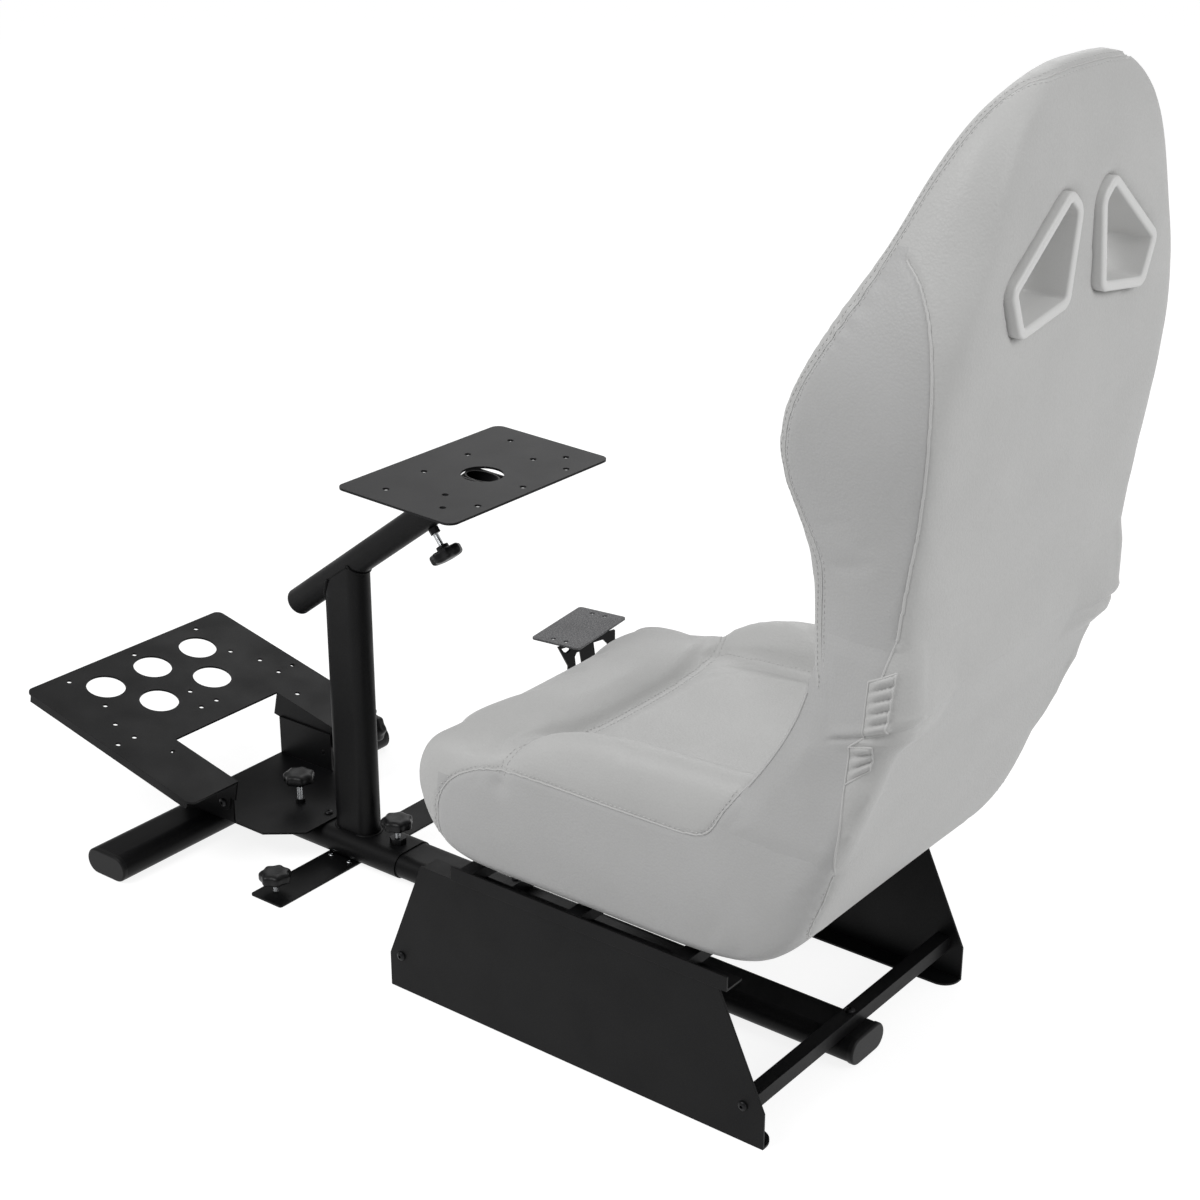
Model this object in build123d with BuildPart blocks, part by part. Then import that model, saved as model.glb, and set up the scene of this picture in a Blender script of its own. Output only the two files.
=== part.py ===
from build123d import *
from math import cos, radians, sin
import os

os.makedirs("parts", exist_ok=True)

# Sim racing cockpit, in millimetres. +X is the driver's left, +Y is rearward, +Z is up.
# The origin is on the floor, in the middle plane, under the upright that carries the wheel deck.

# Sheet and tube stock
sheet = 3.0                     # side plates, decks, pedal bracket
tube_wall = 2.0
slide_gap = 0.4                 # round the spine, inside the sleeve

# Floor bar, a flat strip across the frame under the sleeve
bar_length = 380.0
bar_width = 61.0
bar_thickness = 3.0
bar_middle_y = -6.0
bar_corner = 4.0
bar_screw_x = 36.0
bar_screw_spacing = 36.0
bar_hole_inset = 20.0            # from the bar's end, as the knob's is
bar_knob_inset = 29.0

# Spine and the sleeve that slides on it, both flat-oval tubes lying along Y
spine_width = 76.0
spine_height = 36.0
sleeve_wall = 1.5
sleeve_width = spine_width + 2 * (slide_gap + sleeve_wall)
sleeve_height = spine_height + 2 * (slide_gap + sleeve_wall)
sleeve_rear_y = 106.0
sleeve_middle_z = bar_thickness + sleeve_height / 2
sleeve_top_z = sleeve_middle_z + sleeve_height / 2
spine_front_y = -65.0
spine_top_z = sleeve_middle_z + spine_height / 2

# Front foot, a flat-oval tube lying along X
foot_half_length = 275.0
foot_width = 80.0
foot_height = 40.0
foot_middle_y = -240.0
cap_thickness = 8.0
cap_edge = 3.0

# Side plates
base_middle_y = 585.0
plate_length = 600.0
plate_height = 200.0
plate_end_height = 50.0
plate_front_slant = 60.0
plate_rear_slant = 70.0
plate_outer_x = 239.0
plate_inner_x = plate_outer_x - sheet
floor_flange = 28.0
top_flange = 26.0
flange_corner = 24.0
plate_front_y = base_middle_y - plate_length / 2
plate_rear_y = base_middle_y + plate_length / 2
spine_rear_inset = 9.0
spine_rear_y = plate_rear_y - spine_rear_inset

# Cross tubes between the side plates, on the spine
cross_tube = 20.0
cross_tube_wall = 1.5
cross_tube_plug = 16.0
front_tube_inset = 20.0
rear_tube_inset = 30.0
front_tube_y = plate_front_y + front_tube_inset
rear_tube_y = plate_rear_y - rear_tube_inset
cross_tube_z = spine_top_z + cross_tube / 2

# Seat rails and crossbars
rail_front_y = 400.0
rail_rear_y = 829.0
rail_height = 20.0
rail_foot = 26.0
rail_outer_x = plate_outer_x + sheet
crossbar_ys = (424.0, 597.0, 760.0)
crossbar_width = 22.0
crossbar_names = ("crossbar_front", "crossbar_middle", "crossbar_rear")
rail_top_z = plate_height + rail_height

# Upright and wheel column
upright_length = 75.0           # along Y
upright_width = 40.0            # along X
column_angle = 37.0             # from level, rising rearward
column_diameter = 40.0
column_wall = 2.5
column_length = 361.0
column_low_y = -98.0
column_low_z = 382.0
column_plug_thickness = 2.5
stem_gap = 0.08                 # radial, between the column and the stem inside it
stem_wall = 2.0
stem_overlap = 145.0

# Wheel deck
wheel_deck_width = 326.0
wheel_deck_depth = 199.0
wheel_deck_corner = 14.0
wheel_deck_slope = 2.2
wheel_deck_reach = 84.0         # from the end of the column to the plate, along the column
wheel_opening = 58.0
wheel_hole = 9.0
wheel_opening_depth = 111.5     # from the front edge, over the column's middle line
wheel_holes = ((125.0, 55.0), (44.0, 48.0), (89.0, 125.0), (125.0, 152.5), (90.0, 181.0))
wheel_middle_hole_depth = 181.0
cheek_thickness = 3.0
cheek_clearance = 9.0           # from the end of the column, measured along it
cheek_front = 42.0              # along the plate, either side of the middle line
cheek_rear = 52.0

# Pedal deck
pedal_width = 398.0
pedal_depth = 368.0
pedal_front_y = -498.7
pedal_front_z = 197.0
pedal_slope = 12.5
pedal_corner = 12.0
pedal_edge = 14.0               # turned-down edge
notch_width = 218.0
notch_depth = 136.0
notch_edge_front = 40.0         # depth of the turned-down edge beside the notch
notch_edge_rear = 34.0
pedal_opening = 60.0
pedal_hole = 8.0
pedal_openings = ((0.0, 63.0), (95.0, 63.0), (55.0, 139.6))
pedal_holes = (
    # inward from the side, and down the deck
    (68.0, 20.0), (69.0, 102.0), (48.5, 148.5), (17.0, 191.0), (48.5, 191.0), (69.0, 254.0),
)
pedal_middle_holes = ((0.0, 20.0), (0.0, 149.0), (15.7, 191.5), (-15.7, 191.5))

# Pedal bracket and the tilt pivot
bracket_outer_x = 105.5
bracket_front_y = -266.0
bracket_side_rear_y = -155.0
bracket_side_top_z = 108.0
bracket_chamfer_y = -95.0
bracket_rear_y = -45.0
bracket_rear_half = 65.0
bracket_bolt_y = -62.0
pivot_y = -172.0
pivot_z = 74.0
pivot_radius = 4.0
pivot_gap = 0.05
pivot_end = 1.5                 # of the pivot's bolt and stud, inside the bracket
ear_radius = 13.0

# Star knobs
knob_radius = 24.0
knob_lobe_radius = 6.0
knob_lobes = 7
knob_thickness = 16.0
knob_crown = 4.0                # of the thickness, tapered in
knob_taper = 30.0
knob_neck_radius = 9.0
knob_neck = 6.0
stud_radius = 4.0
stud_gap = 0.1
nut_radius = 7.5
nut_height = 6.5
collar_radius = 12.5
collar_height = 9.0
rail_knob_y = 79.0
bracket_knob_y = -121.0
bar_knob_x = bar_length / 2 - bar_knob_inset
bar_knob_y = -13.0
bar_stud_rise = 0.5             # off the floor
rail_stud = 20.0
bracket_stud = 32.0
bar_stud = 13.0
column_stud = 25.0
column_knob_from_top = 45.0
tilt_knob_gap = 4.0             # outside the pedal deck's edge

# Shifter arm, riser and plate, on the driver's right
arm_top_z = 114.0
arm_thickness = 4.0
arm_rear_y = 395.0
arm_corner_y = 64.0
arm_inner_corner_y = 143.0
arm_width = 70.0
arm_corner_radius = 22.0
arm_end_x = -482.0
arm_end_front_y = 73.0
arm_end_rear_y = 130.0
arm_lip = 13.0
arm_tab_length = 78.0
arm_tab_height = 32.0
riser_x = -463.0
riser_y = 123.0
riser_turn = 14.0
riser_height = 123.0
riser_thickness = 4.0
riser_foot = 58.0               # along the arm
riser_head = 112.0              # along the plate
riser_shoulder = (92.0, 85.0)   # along and above the riser's foot, as in the next four
riser_throat = ((87.0, 50.0), (74.0, 24.0))
riser_windows = (
    ((36.0, 65.0), (11.0, 65.0), (14.0, 102.0), (24.0, 113.0), (43.0, 113.0)),
    ((76.0, 64.0), (62.0, 64.0), (69.0, 105.0), (76.0, 105.0), (80.0, 99.0)),
    ((89.0, 119.0), (89.0, 112.0), (95.0, 109.0), (101.0, 112.0), (106.0, 119.0)),
)
shifter_plate_x = -431.0
shifter_plate_y = 78.0
shifter_plate_length = 146.0
shifter_plate_width = 87.0
shifter_plate_corner = 6.0
shifter_plate_turn = 7.0
shifter_hole = 8.0
shifter_hole_end = 14.0
shifter_hole_spacing = 23.0

# Bolts
bolt_radius = 4.0
bolt_gap = 0.1
bolt_head_radius = 6.5
bolt_head_height = 4.5
small_head_radius = 4.2
small_head_height = 2.2
small_bolt_radius = 2.5

# Seat base: heights are above the crossbars, and depths are behind its front
seat_half_width = 250.0
seat_front_y = 342.0
seat_front_lean = 32.0
bolster_width = 82.0
nose_outline = ((8.0, 45.0), (0.0, 100.0), (4.0, 145.0), (24.0, 162.0))
pan_outline = ((150.0, 156.0), (320.0, 140.0))
bolster_foot = 20.0
bolster_outline = ((60.0, 158.0), (136.0, 182.0), (188.0, 218.0), (254.0, 240.0))

# Rear of the seat base: depths are behind the hinge of the seat back
pan_rear_outline = ((-128.0, 142.0),)
pan_rear_height = 180.0
bolster_rear_outline = ((-98.0, 248.0),)
tail_outline = ((13.0, 200.0), (-32.0, 62.0), (-83.0, 0.0))

# Hinge of the seat back, and the boss that turns in the seat base
recline_setback = 618.0
recline_rise = 305.0
recline_radius = 50.0
recline_gap = 5.5
cheek_width = 39.5              # of the base's cheeks, outside the boss
cradle_drop = 40.0              # of the base's upper edges below the hinge, beside the boss
cradle_rear = 42.0
cheek_radius = 52.0
recliner_disc_radius = 30.0
recliner_disc = 3.0
recliner_pin_radius = 12.0
recliner_pin_reach = 55.0

# Seat back: level sections, with heights above the hinge and depths behind it
back_sections = (
    # height, half width beyond the base's, rear, front of the wings, front of the middle
    (20.0, -22.0, 43.0, -43.0, -40.0),
    (95.0, -2.0, 88.0, -24.0, -2.0),
    (195.0, -2.0, 94.0, -28.0, 16.0),
    (270.0, 3.0, 103.0, -40.0, 24.0),
    (335.0, 14.0, 111.0, -68.0, 30.0),
    (380.0, 24.0, 116.0, -74.0, 34.0),
    (430.0, 27.0, 121.0, -62.0, 38.0),
    (490.0, 11.0, 127.0, -29.0, 42.0),
    (560.0, -24.0, 131.0, 14.0, 44.0),
    (620.0, -54.0, 132.0, 38.0, 50.0),
    (675.0, -79.0, 130.0, 64.0, 66.0),
    (712.0, -108.0, 126.0, 80.0, 82.0),
    (738.0, -152.0, 121.0, 95.0, 97.0),
    (752.0, -200.0, 116.0, 105.0, 106.0),
)
harness_outline = ((49.0, 626.0), (20.0, 603.0), (36.0, 500.0), (141.0, 485.0), (167.0, 541.0))
harness_corner = 12.0
bezel_width = 12.0
bezel_front = 36.0
bezel_rear = 136.0

# Values that follow from the sizes above
recline_y = seat_front_y + recline_setback
recline_z = rail_top_z + recline_rise
cradle_half_width = seat_half_width - cheek_width
recline_half_width = cradle_half_width - recline_gap
bolster_inner_x = seat_half_width - bolster_width


def save(part, label):
    part.label = label
    export_step(part, f"parts/{label}.step")


def save_group(solids, label):
    group = Compound(children=list(solids)) if len(solids) > 1 else solids[0]
    group.label = label
    export_step(group, f"parts/{label}.step")


# Sections and planes that several pieces share

def lengthwise(y):
    """An upright plane across the frame at y, with +Y as its normal and -X to its right."""
    return Plane(origin=(0, y, 0), x_dir=(-1, 0, 0), z_dir=(0, 1, 0))


column_rise = radians(column_angle)
column_way = Vector(0, cos(column_rise), sin(column_rise))
column_down = Vector(0, sin(column_rise), -cos(column_rise))
column_foot = Vector(0, column_low_y, column_low_z)
column_low = Plane(origin=column_foot, x_dir=(1, 0, 0), z_dir=column_way)
pedal_fall = radians(pedal_slope)
pedal_plane = Plane(
    origin=(0, pedal_front_y, pedal_front_z),
    x_dir=(1, 0, 0),
    z_dir=(0, sin(pedal_fall), cos(pedal_fall)),
)
wheel_fall = radians(wheel_deck_slope)
wheel_up = Vector(0, sin(wheel_fall), cos(wheel_fall))
wheel_back = Vector(0, cos(wheel_fall), -sin(wheel_fall))
stem_top = column_foot + column_way * (column_length + wheel_deck_reach)
wheel_plane = Plane(
    origin=stem_top + wheel_up * sheet - wheel_back * wheel_opening_depth,
    x_dir=(1, 0, 0),
    z_dir=wheel_up,
)


def pedal_side(x):
    """A plane along the pedal deck at x: its first axis runs down the deck."""
    return Plane(
        origin=(x, pedal_front_y, pedal_front_z),
        x_dir=(0, cos(pedal_fall), -sin(pedal_fall)),
        z_dir=(1, 0, 0),
    )


# Spine

with BuildPart() as spine:
    with BuildSketch(lengthwise(spine_front_y)):
        with Locations((0, sleeve_middle_z)):
            SlotOverall(spine_width, spine_height)
            SlotOverall(
                spine_width - 2 * tube_wall, spine_height - 2 * tube_wall, mode=Mode.SUBTRACT
            )
    extrude(amount=spine_rear_y - spine_front_y)
    with BuildSketch(Plane.XY.offset(sleeve_middle_z)):
        with Locations((0, front_tube_y), (0, rear_tube_y)):
            Circle(bolt_radius + bolt_gap)
    extrude(amount=spine_height, mode=Mode.SUBTRACT)
save(spine.part, "spine_tube")

with BuildPart() as spine_cap:
    with BuildSketch(lengthwise(spine_rear_y)):
        with Locations((0, sleeve_middle_z)):
            SlotOverall(spine_width + 2, spine_height + 2)
    extrude(amount=cap_thickness)
    fillet(spine_cap.faces().sort_by(Axis.Y)[-1].edges(), cap_edge)
save(spine_cap.part, "spine_end_cap")


# Side plates, seat rails, crossbars and cross tubes

plate_outline = (
    (plate_front_y, 0),
    (plate_rear_y, 0),
    (plate_rear_y, plate_end_height),
    (plate_rear_y - plate_rear_slant, plate_height),
    (plate_front_y + plate_front_slant, plate_height),
    (plate_front_y, plate_end_height),
)
arm_bolt_ys = (arm_rear_y - arm_tab_length * 0.25, arm_rear_y - arm_tab_length * 0.75)
arm_bolt_z = arm_top_z + arm_tab_height / 2


def side_plate(side):
    with BuildPart() as plate:
        with BuildSketch(Plane.YZ.offset(side * plate_inner_x)):
            with BuildLine():
                Polyline(*plate_outline, close=True)
            make_face()
        extrude(amount=side * sheet)
        with BuildSketch(Plane.XY) as floor_face:
            with Locations((side * (plate_inner_x - floor_flange / 2), base_middle_y)):
                Rectangle(floor_flange, plate_length)
            inner = floor_face.vertices().sort_by(lambda corner: abs(corner.X))[:2]
            fillet(inner, flange_corner)
        extrude(amount=sheet)
        top_front = plate_front_y + plate_front_slant + sheet
        top_rear = plate_rear_y - plate_rear_slant - sheet
        with BuildSketch(Plane.XY.offset(plate_height - sheet)):
            with Locations(
                (side * (plate_inner_x - top_flange / 2), (top_front + top_rear) / 2)
            ):
                Rectangle(top_flange, top_rear - top_front)
        extrude(amount=sheet)
        holes = [(front_tube_y, cross_tube_z), (rear_tube_y, cross_tube_z)]
        if side < 0:
            holes += [(y, arm_bolt_z) for y in arm_bolt_ys]
        with BuildSketch(Plane.YZ.offset(side * (plate_inner_x - sheet))):
            with Locations(*holes):
                Circle(bolt_radius + bolt_gap)
        extrude(amount=side * 3 * sheet, mode=Mode.SUBTRACT)
    return plate.part


for side, name in ((1, "left"), (-1, "right")):
    save(side_plate(side), f"side_plate_{name}")


def seat_rail(side):
    with BuildPart() as rail:
        with BuildSketch(Plane.XZ.offset(-rail_front_y)):
            with BuildLine():
                Polyline(
                    (side * (plate_inner_x - rail_foot), plate_height),
                    (side * rail_outer_x, plate_height),
                    (side * rail_outer_x, rail_top_z),
                    (side * plate_outer_x, rail_top_z),
                    (side * plate_outer_x, plate_height + sheet),
                    (side * (plate_inner_x - rail_foot), plate_height + sheet),
                    close=True,
                )
            make_face()
        extrude(amount=-(rail_rear_y - rail_front_y))
    return rail.part


for side, name in ((1, "left"), (-1, "right")):
    save(seat_rail(side), f"seat_rail_{name}")

crossbar_height = rail_height - sheet
for y, name in zip(crossbar_ys, crossbar_names):
    with BuildPart() as crossbar:
        with BuildSketch(Plane.YZ.offset(-plate_outer_x)):
            with Locations((y, plate_height + sheet + crossbar_height / 2)):
                Rectangle(crossbar_width, crossbar_height)
                Rectangle(
                    crossbar_width - 2 * tube_wall,
                    crossbar_height - 2 * tube_wall,
                    mode=Mode.SUBTRACT,
                )
        extrude(amount=2 * plate_outer_x)
    save(crossbar.part, name)

for y, name in ((front_tube_y, "front"), (rear_tube_y, "rear")):
    with BuildPart() as tube:
        with Locations((0, y, cross_tube_z)):
            Box(2 * plate_inner_x, cross_tube, cross_tube)
            Box(
                2 * (plate_inner_x - cross_tube_plug),
                cross_tube - 2 * cross_tube_wall,
                cross_tube - 2 * cross_tube_wall,
                mode=Mode.SUBTRACT,
            )
        with BuildSketch(Plane.YZ.offset(-plate_inner_x)):
            with Locations((y, cross_tube_z)):
                Circle(bolt_radius + bolt_gap)
        extrude(amount=2 * plate_inner_x, mode=Mode.SUBTRACT)
        with BuildSketch(Plane.XY.offset(spine_top_z)):
            with Locations((0, y)):
                Circle(bolt_radius + bolt_gap)
        extrude(amount=cross_tube, mode=Mode.SUBTRACT)
    save(tube.part, f"cross_tube_{name}")


bolt_sizes = (bolt_head_radius, bolt_head_height, bolt_radius)
small_sizes = (small_head_radius, small_head_height, small_bolt_radius)


def bolt(place, grip, sizes=bolt_sizes):
    """A round-headed bolt whose head sits on the plane and whose shank goes against it."""
    head_radius, head_height, shank_radius = sizes
    with BuildPart() as screw:
        with BuildSketch(place):
            Circle(head_radius)
        extrude(amount=head_height)
        fillet(screw.faces().sort_by(place.location.z_axis)[-1].edges(), head_height / 3)
        with BuildSketch(place):
            Circle(shank_radius)
        extrude(amount=-grip)
    return screw.part


def facing(side, y, z, x):
    return Plane(origin=(side * x, y, z), x_dir=(0, 1, 0), z_dir=(side, 0, 0))


base_bolts = [
    bolt(facing(side, y, cross_tube_z, plate_outer_x), sheet + cross_tube_plug - 2)
    for side in (1, -1)
    for y in (front_tube_y, rear_tube_y)
]
spine_screws = [
    bolt(Plane(origin=(0, y, cross_tube_z + cross_tube / 2)), cross_tube + tube_wall)
    for y in (front_tube_y, rear_tube_y)
]
save_group(base_bolts + spine_screws, "frame_bolts")


# Sleeve, front foot and floor bar

with BuildPart() as foot:
    with BuildSketch(Plane.YZ.offset(-foot_half_length)):
        with Locations((foot_middle_y, foot_height / 2)):
            SlotOverall(foot_width, foot_height)
            SlotOverall(
                foot_width - 2 * tube_wall, foot_height - 2 * tube_wall, mode=Mode.SUBTRACT
            )
    extrude(amount=2 * foot_half_length)
save(foot.part, "front_foot")


def foot_cap(side):
    with BuildPart() as cap:
        with BuildSketch(facing(side, foot_middle_y, foot_height / 2, foot_half_length)):
            SlotOverall(foot_width, foot_height)
        extrude(amount=cap_thickness)
        outer = cap.faces().sort_by(Axis.X)[-1 if side > 0 else 0]
        fillet(outer.edges(), cap_edge)
    return cap.part


save_group([foot_cap(side) for side in (1, -1)], "foot_end_caps")

with BuildPart() as sleeve:
    sleeve_front_y = foot_middle_y + foot_width / 4
    with BuildSketch(lengthwise(sleeve_front_y)):
        with Locations((0, sleeve_middle_z)):
            SlotOverall(sleeve_width, sleeve_height)
            SlotOverall(
                spine_width + 2 * slide_gap, spine_height + 2 * slide_gap, mode=Mode.SUBTRACT
            )
    extrude(amount=sleeve_rear_y - sleeve_front_y)
    with BuildSketch(Plane.YZ.offset(-sleeve_width)):
        with Locations((foot_middle_y, foot_height / 2)):
            SlotOverall(foot_width, foot_height)
    extrude(amount=2 * sleeve_width, mode=Mode.SUBTRACT)
save(sleeve.part, "sleeve_tube")

with BuildPart() as floor_bar:
    with BuildSketch() as bar_face:
        with Locations((0, bar_middle_y)):
            Rectangle(bar_length, bar_width)
        fillet(bar_face.vertices(), bar_corner)
        with Locations((bar_hole_inset - bar_length / 2, bar_knob_y), (bar_knob_x, bar_knob_y)):
            Circle(stud_radius + stud_gap, mode=Mode.SUBTRACT)
        with Locations((0, bar_middle_y)):
            with GridLocations(2 * bar_screw_x, bar_screw_spacing, 2, 2):
                Circle(small_bolt_radius + bolt_gap, mode=Mode.SUBTRACT)
    extrude(amount=bar_thickness)
save(floor_bar.part, "floor_bar")

bar_screws = [
    bolt(
        Plane(origin=(side * bar_screw_x, bar_middle_y + step, bar_thickness)),
        bar_thickness,
        small_sizes,
    )
    for side in (1, -1)
    for step in (-bar_screw_spacing / 2, bar_screw_spacing / 2)
]
save_group(bar_screws, "floor_bar_screws")


# Upright, column and stem

with BuildPart() as upright:
    with BuildSketch(Plane.XY.offset(sleeve_top_z)):
        SlotOverall(upright_length, upright_width, rotation=90)
        SlotOverall(
            upright_length - 2 * tube_wall,
            upright_width - 2 * tube_wall,
            rotation=90,
            mode=Mode.SUBTRACT,
        )
    extrude(amount=2 * column_low_z)
    with BuildSketch(column_low.offset(-column_length)):
        Circle(column_diameter / 2)
    extrude(amount=3 * column_length, mode=Mode.SUBTRACT)
    under_column = Plane(origin=column_foot, x_dir=(1, 0, 0), z_dir=column_down)
    split(bisect_by=under_column, keep=Keep.TOP)
save(upright.part, "upright_tube")

with BuildPart() as column:
    with BuildSketch(column_low):
        Circle(column_diameter / 2)
        Circle(column_diameter / 2 - column_wall, mode=Mode.SUBTRACT)
    extrude(amount=column_length)
save(column.part, "column_tube")

stem_radius = column_diameter / 2 - column_wall - stem_gap
with BuildPart() as column_plug:
    with BuildSketch(column_low):
        Circle(column_diameter / 2)
    extrude(amount=-column_plug_thickness)
    with BuildSketch(column_low):
        Circle(stem_radius)
    extrude(amount=4 * column_plug_thickness)
save(column_plug.part, "column_plug")

with BuildPart() as stem:
    with BuildSketch(column_low.offset(column_length - stem_overlap)):
        Circle(stem_radius)
        Circle(stem_radius - stem_wall, mode=Mode.SUBTRACT)
    extrude(amount=wheel_deck_depth + stem_overlap)
    split(bisect_by=wheel_plane.offset(-sheet), keep=Keep.BOTTOM)
save(stem.part, "column_stem")


# Wheel deck: the plate and the two cheeks that join it to the stem

with BuildPart() as wheel_plate:
    with BuildSketch(wheel_plane) as wheel_face:
        with Locations((0, wheel_deck_depth / 2)):
            Rectangle(wheel_deck_width, wheel_deck_depth)
        fillet(wheel_face.vertices(), wheel_deck_corner)
        with Locations((0, wheel_opening_depth)):
            Circle(wheel_opening / 2, mode=Mode.SUBTRACT)
        with Locations(*[(side * x, y) for side in (1, -1) for x, y in wheel_holes]):
            Circle(wheel_hole / 2, mode=Mode.SUBTRACT)
        with Locations((0, wheel_middle_hole_depth)):
            Circle(wheel_hole / 2, mode=Mode.SUBTRACT)
    extrude(amount=-sheet)
save(wheel_plate.part, "wheel_plate")

cheek_low = column_foot + column_way * (column_length + cheek_clearance)


def wheel_cheek(side):
    """A flat gusset beside the stem, from its axis up to the underside of the wheel plate."""
    with BuildPart() as cheek:
        front = stem_top - wheel_back * cheek_front
        rear = stem_top + wheel_back * cheek_rear
        with BuildSketch(Plane.YZ.offset(side * stem_radius)):
            with BuildLine():
                Polyline(
                    (cheek_low.Y, cheek_low.Z), (front.Y, front.Z), (rear.Y, rear.Z), close=True
                )
            make_face()
        extrude(amount=side * cheek_thickness)
    return cheek.part


save_group([wheel_cheek(side) for side in (1, -1)], "wheel_plate_cheeks")


# Pedal deck

pivot_from_front = Vector(0, pivot_y - pedal_front_y, pivot_z - pedal_front_z)
down_deck = Vector(0, cos(pedal_fall), -sin(pedal_fall))
off_deck = Vector(0, sin(pedal_fall), cos(pedal_fall))
ear_x = pivot_from_front.dot(down_deck)
ear_y = pivot_from_front.dot(off_deck)

with BuildPart() as pedal_deck:
    with BuildSketch(pedal_plane) as pedal_face:
        with Locations((0, pedal_depth / 2)):
            Rectangle(pedal_width, pedal_depth)
        fillet(pedal_face.vertices(), pedal_corner)
        with Locations((0, pedal_depth - notch_depth / 2)):
            Rectangle(notch_width, notch_depth, mode=Mode.SUBTRACT)
        for x, y in pedal_openings:
            places = [(0, y)] if x == 0 else [(x, y), (-x, y)]
            with Locations(*places):
                Circle(pedal_opening / 2, mode=Mode.SUBTRACT)
        for side in (1, -1):
            with Locations(*[(side * (pedal_width / 2 - x), y) for x, y in pedal_holes]):
                Circle(pedal_hole / 2, mode=Mode.SUBTRACT)
        with Locations(*pedal_middle_holes):
            Circle(pedal_hole / 2, mode=Mode.SUBTRACT)
    extrude(amount=-sheet)
    for side in (1, -1):
        # The turned-down outer edge
        with BuildSketch(pedal_side(side * (pedal_width / 2 - sheet))):
            with BuildLine():
                Polyline(
                    (pedal_corner, 0),
                    (pedal_depth - pedal_corner, 0),
                    (pedal_depth - pedal_corner, -pedal_edge),
                    (pedal_corner, -pedal_edge),
                    close=True,
                )
            make_face()
        extrude(amount=side * sheet)
        # The inner edge, with the ear that the pivot passes through
        with BuildSketch(pedal_side(side * notch_width / 2)):
            with BuildLine():
                Polyline(
                    (pedal_depth - notch_depth, 0),
                    (pedal_depth, 0),
                    (pedal_depth, -notch_edge_rear),
                    (pedal_depth - notch_depth, -notch_edge_front),
                    close=True,
                )
            make_face()
            with Locations((ear_x, ear_y / 2)):
                Rectangle(2 * ear_radius, abs(ear_y))
            with Locations((ear_x, ear_y)):
                Circle(ear_radius)
                Circle(pivot_radius + bolt_gap, mode=Mode.SUBTRACT)
        extrude(amount=-side * sheet)
save(pedal_deck.part, "pedal_deck")


# Pedal bracket, one folded sheet on the sleeve

with BuildPart() as pedal_bracket:
    with BuildSketch(Plane.XY.offset(sleeve_top_z)):
        with BuildLine():
            Polyline(
                (-bracket_outer_x, bracket_front_y),
                (bracket_outer_x, bracket_front_y),
                (bracket_outer_x, bracket_chamfer_y),
                (bracket_rear_half, bracket_rear_y),
                (-bracket_rear_half, bracket_rear_y),
                (-bracket_outer_x, bracket_chamfer_y),
                close=True,
            )
        make_face()
        with Locations((0, bracket_knob_y)):
            Circle(stud_radius + stud_gap, mode=Mode.SUBTRACT)
        with Locations((0, bracket_bolt_y)):
            Circle(bolt_radius + bolt_gap, mode=Mode.SUBTRACT)
    extrude(amount=sheet)
    for side in (1, -1):
        with BuildSketch(Plane.YZ.offset(side * bracket_outer_x)):
            with BuildLine():
                Polyline(
                    (bracket_front_y, sleeve_top_z),
                    (bracket_side_rear_y, sleeve_top_z),
                    (bracket_side_rear_y, bracket_side_top_z),
                    (bracket_front_y, bracket_side_top_z),
                    close=True,
                )
            make_face()
            with Locations((pivot_y, pivot_z)):
                Circle(pivot_radius + pivot_gap, mode=Mode.SUBTRACT)
        extrude(amount=-side * sheet)
save(pedal_bracket.part, "pedal_bracket")

bracket_bolt = bolt(Plane(origin=(0, bracket_bolt_y, sleeve_top_z + sheet)), sheet)
save(bracket_bolt, "bracket_bolt")

pivot_grip = notch_width / 2 - bracket_outer_x + sheet + pivot_end
save(bolt(facing(1, pivot_y, pivot_z, notch_width / 2), pivot_grip), "pivot_bolt")


# Star knobs, each on a stud

def lobed(radius):
    """A round knob's outline with its lobes, in the open sketch."""
    Circle(radius - knob_lobe_radius)
    with PolarLocations(radius - knob_lobe_radius, knob_lobes):
        Circle(knob_lobe_radius)


def star_knob(place):
    """A lobed hand knob whose neck starts at the plane, on the end of a stud."""
    with BuildPart() as knob:
        with BuildSketch(place):
            Circle(knob_neck_radius)
        extrude(amount=knob_neck)
        with BuildSketch(place.offset(knob_neck)):
            lobed(knob_radius)
        extrude(amount=knob_thickness - knob_crown)
        with BuildSketch(place.offset(knob_neck + knob_thickness - knob_crown)):
            lobed(knob_radius)
        extrude(amount=knob_crown, taper=knob_taper)
        with BuildSketch(place):
            Circle(stud_radius + stud_gap)
        extrude(amount=knob_neck + knob_thickness / 2, mode=Mode.SUBTRACT)
    return knob.part


def knob_stud(place, length):
    """The stud from the plane to the knob, and on into it."""
    with BuildPart() as stud:
        with BuildSketch(place):
            Circle(stud_radius)
        extrude(amount=length + knob_neck + knob_thickness / 2)
    return stud.part


def clamp_nut(place, radius, height):
    with BuildPart() as nut:
        with BuildSketch(place):
            RegularPolygon(radius, 6)
            Circle(stud_radius + stud_gap, mode=Mode.SUBTRACT)
        extrude(amount=height)
    return nut.part


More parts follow.
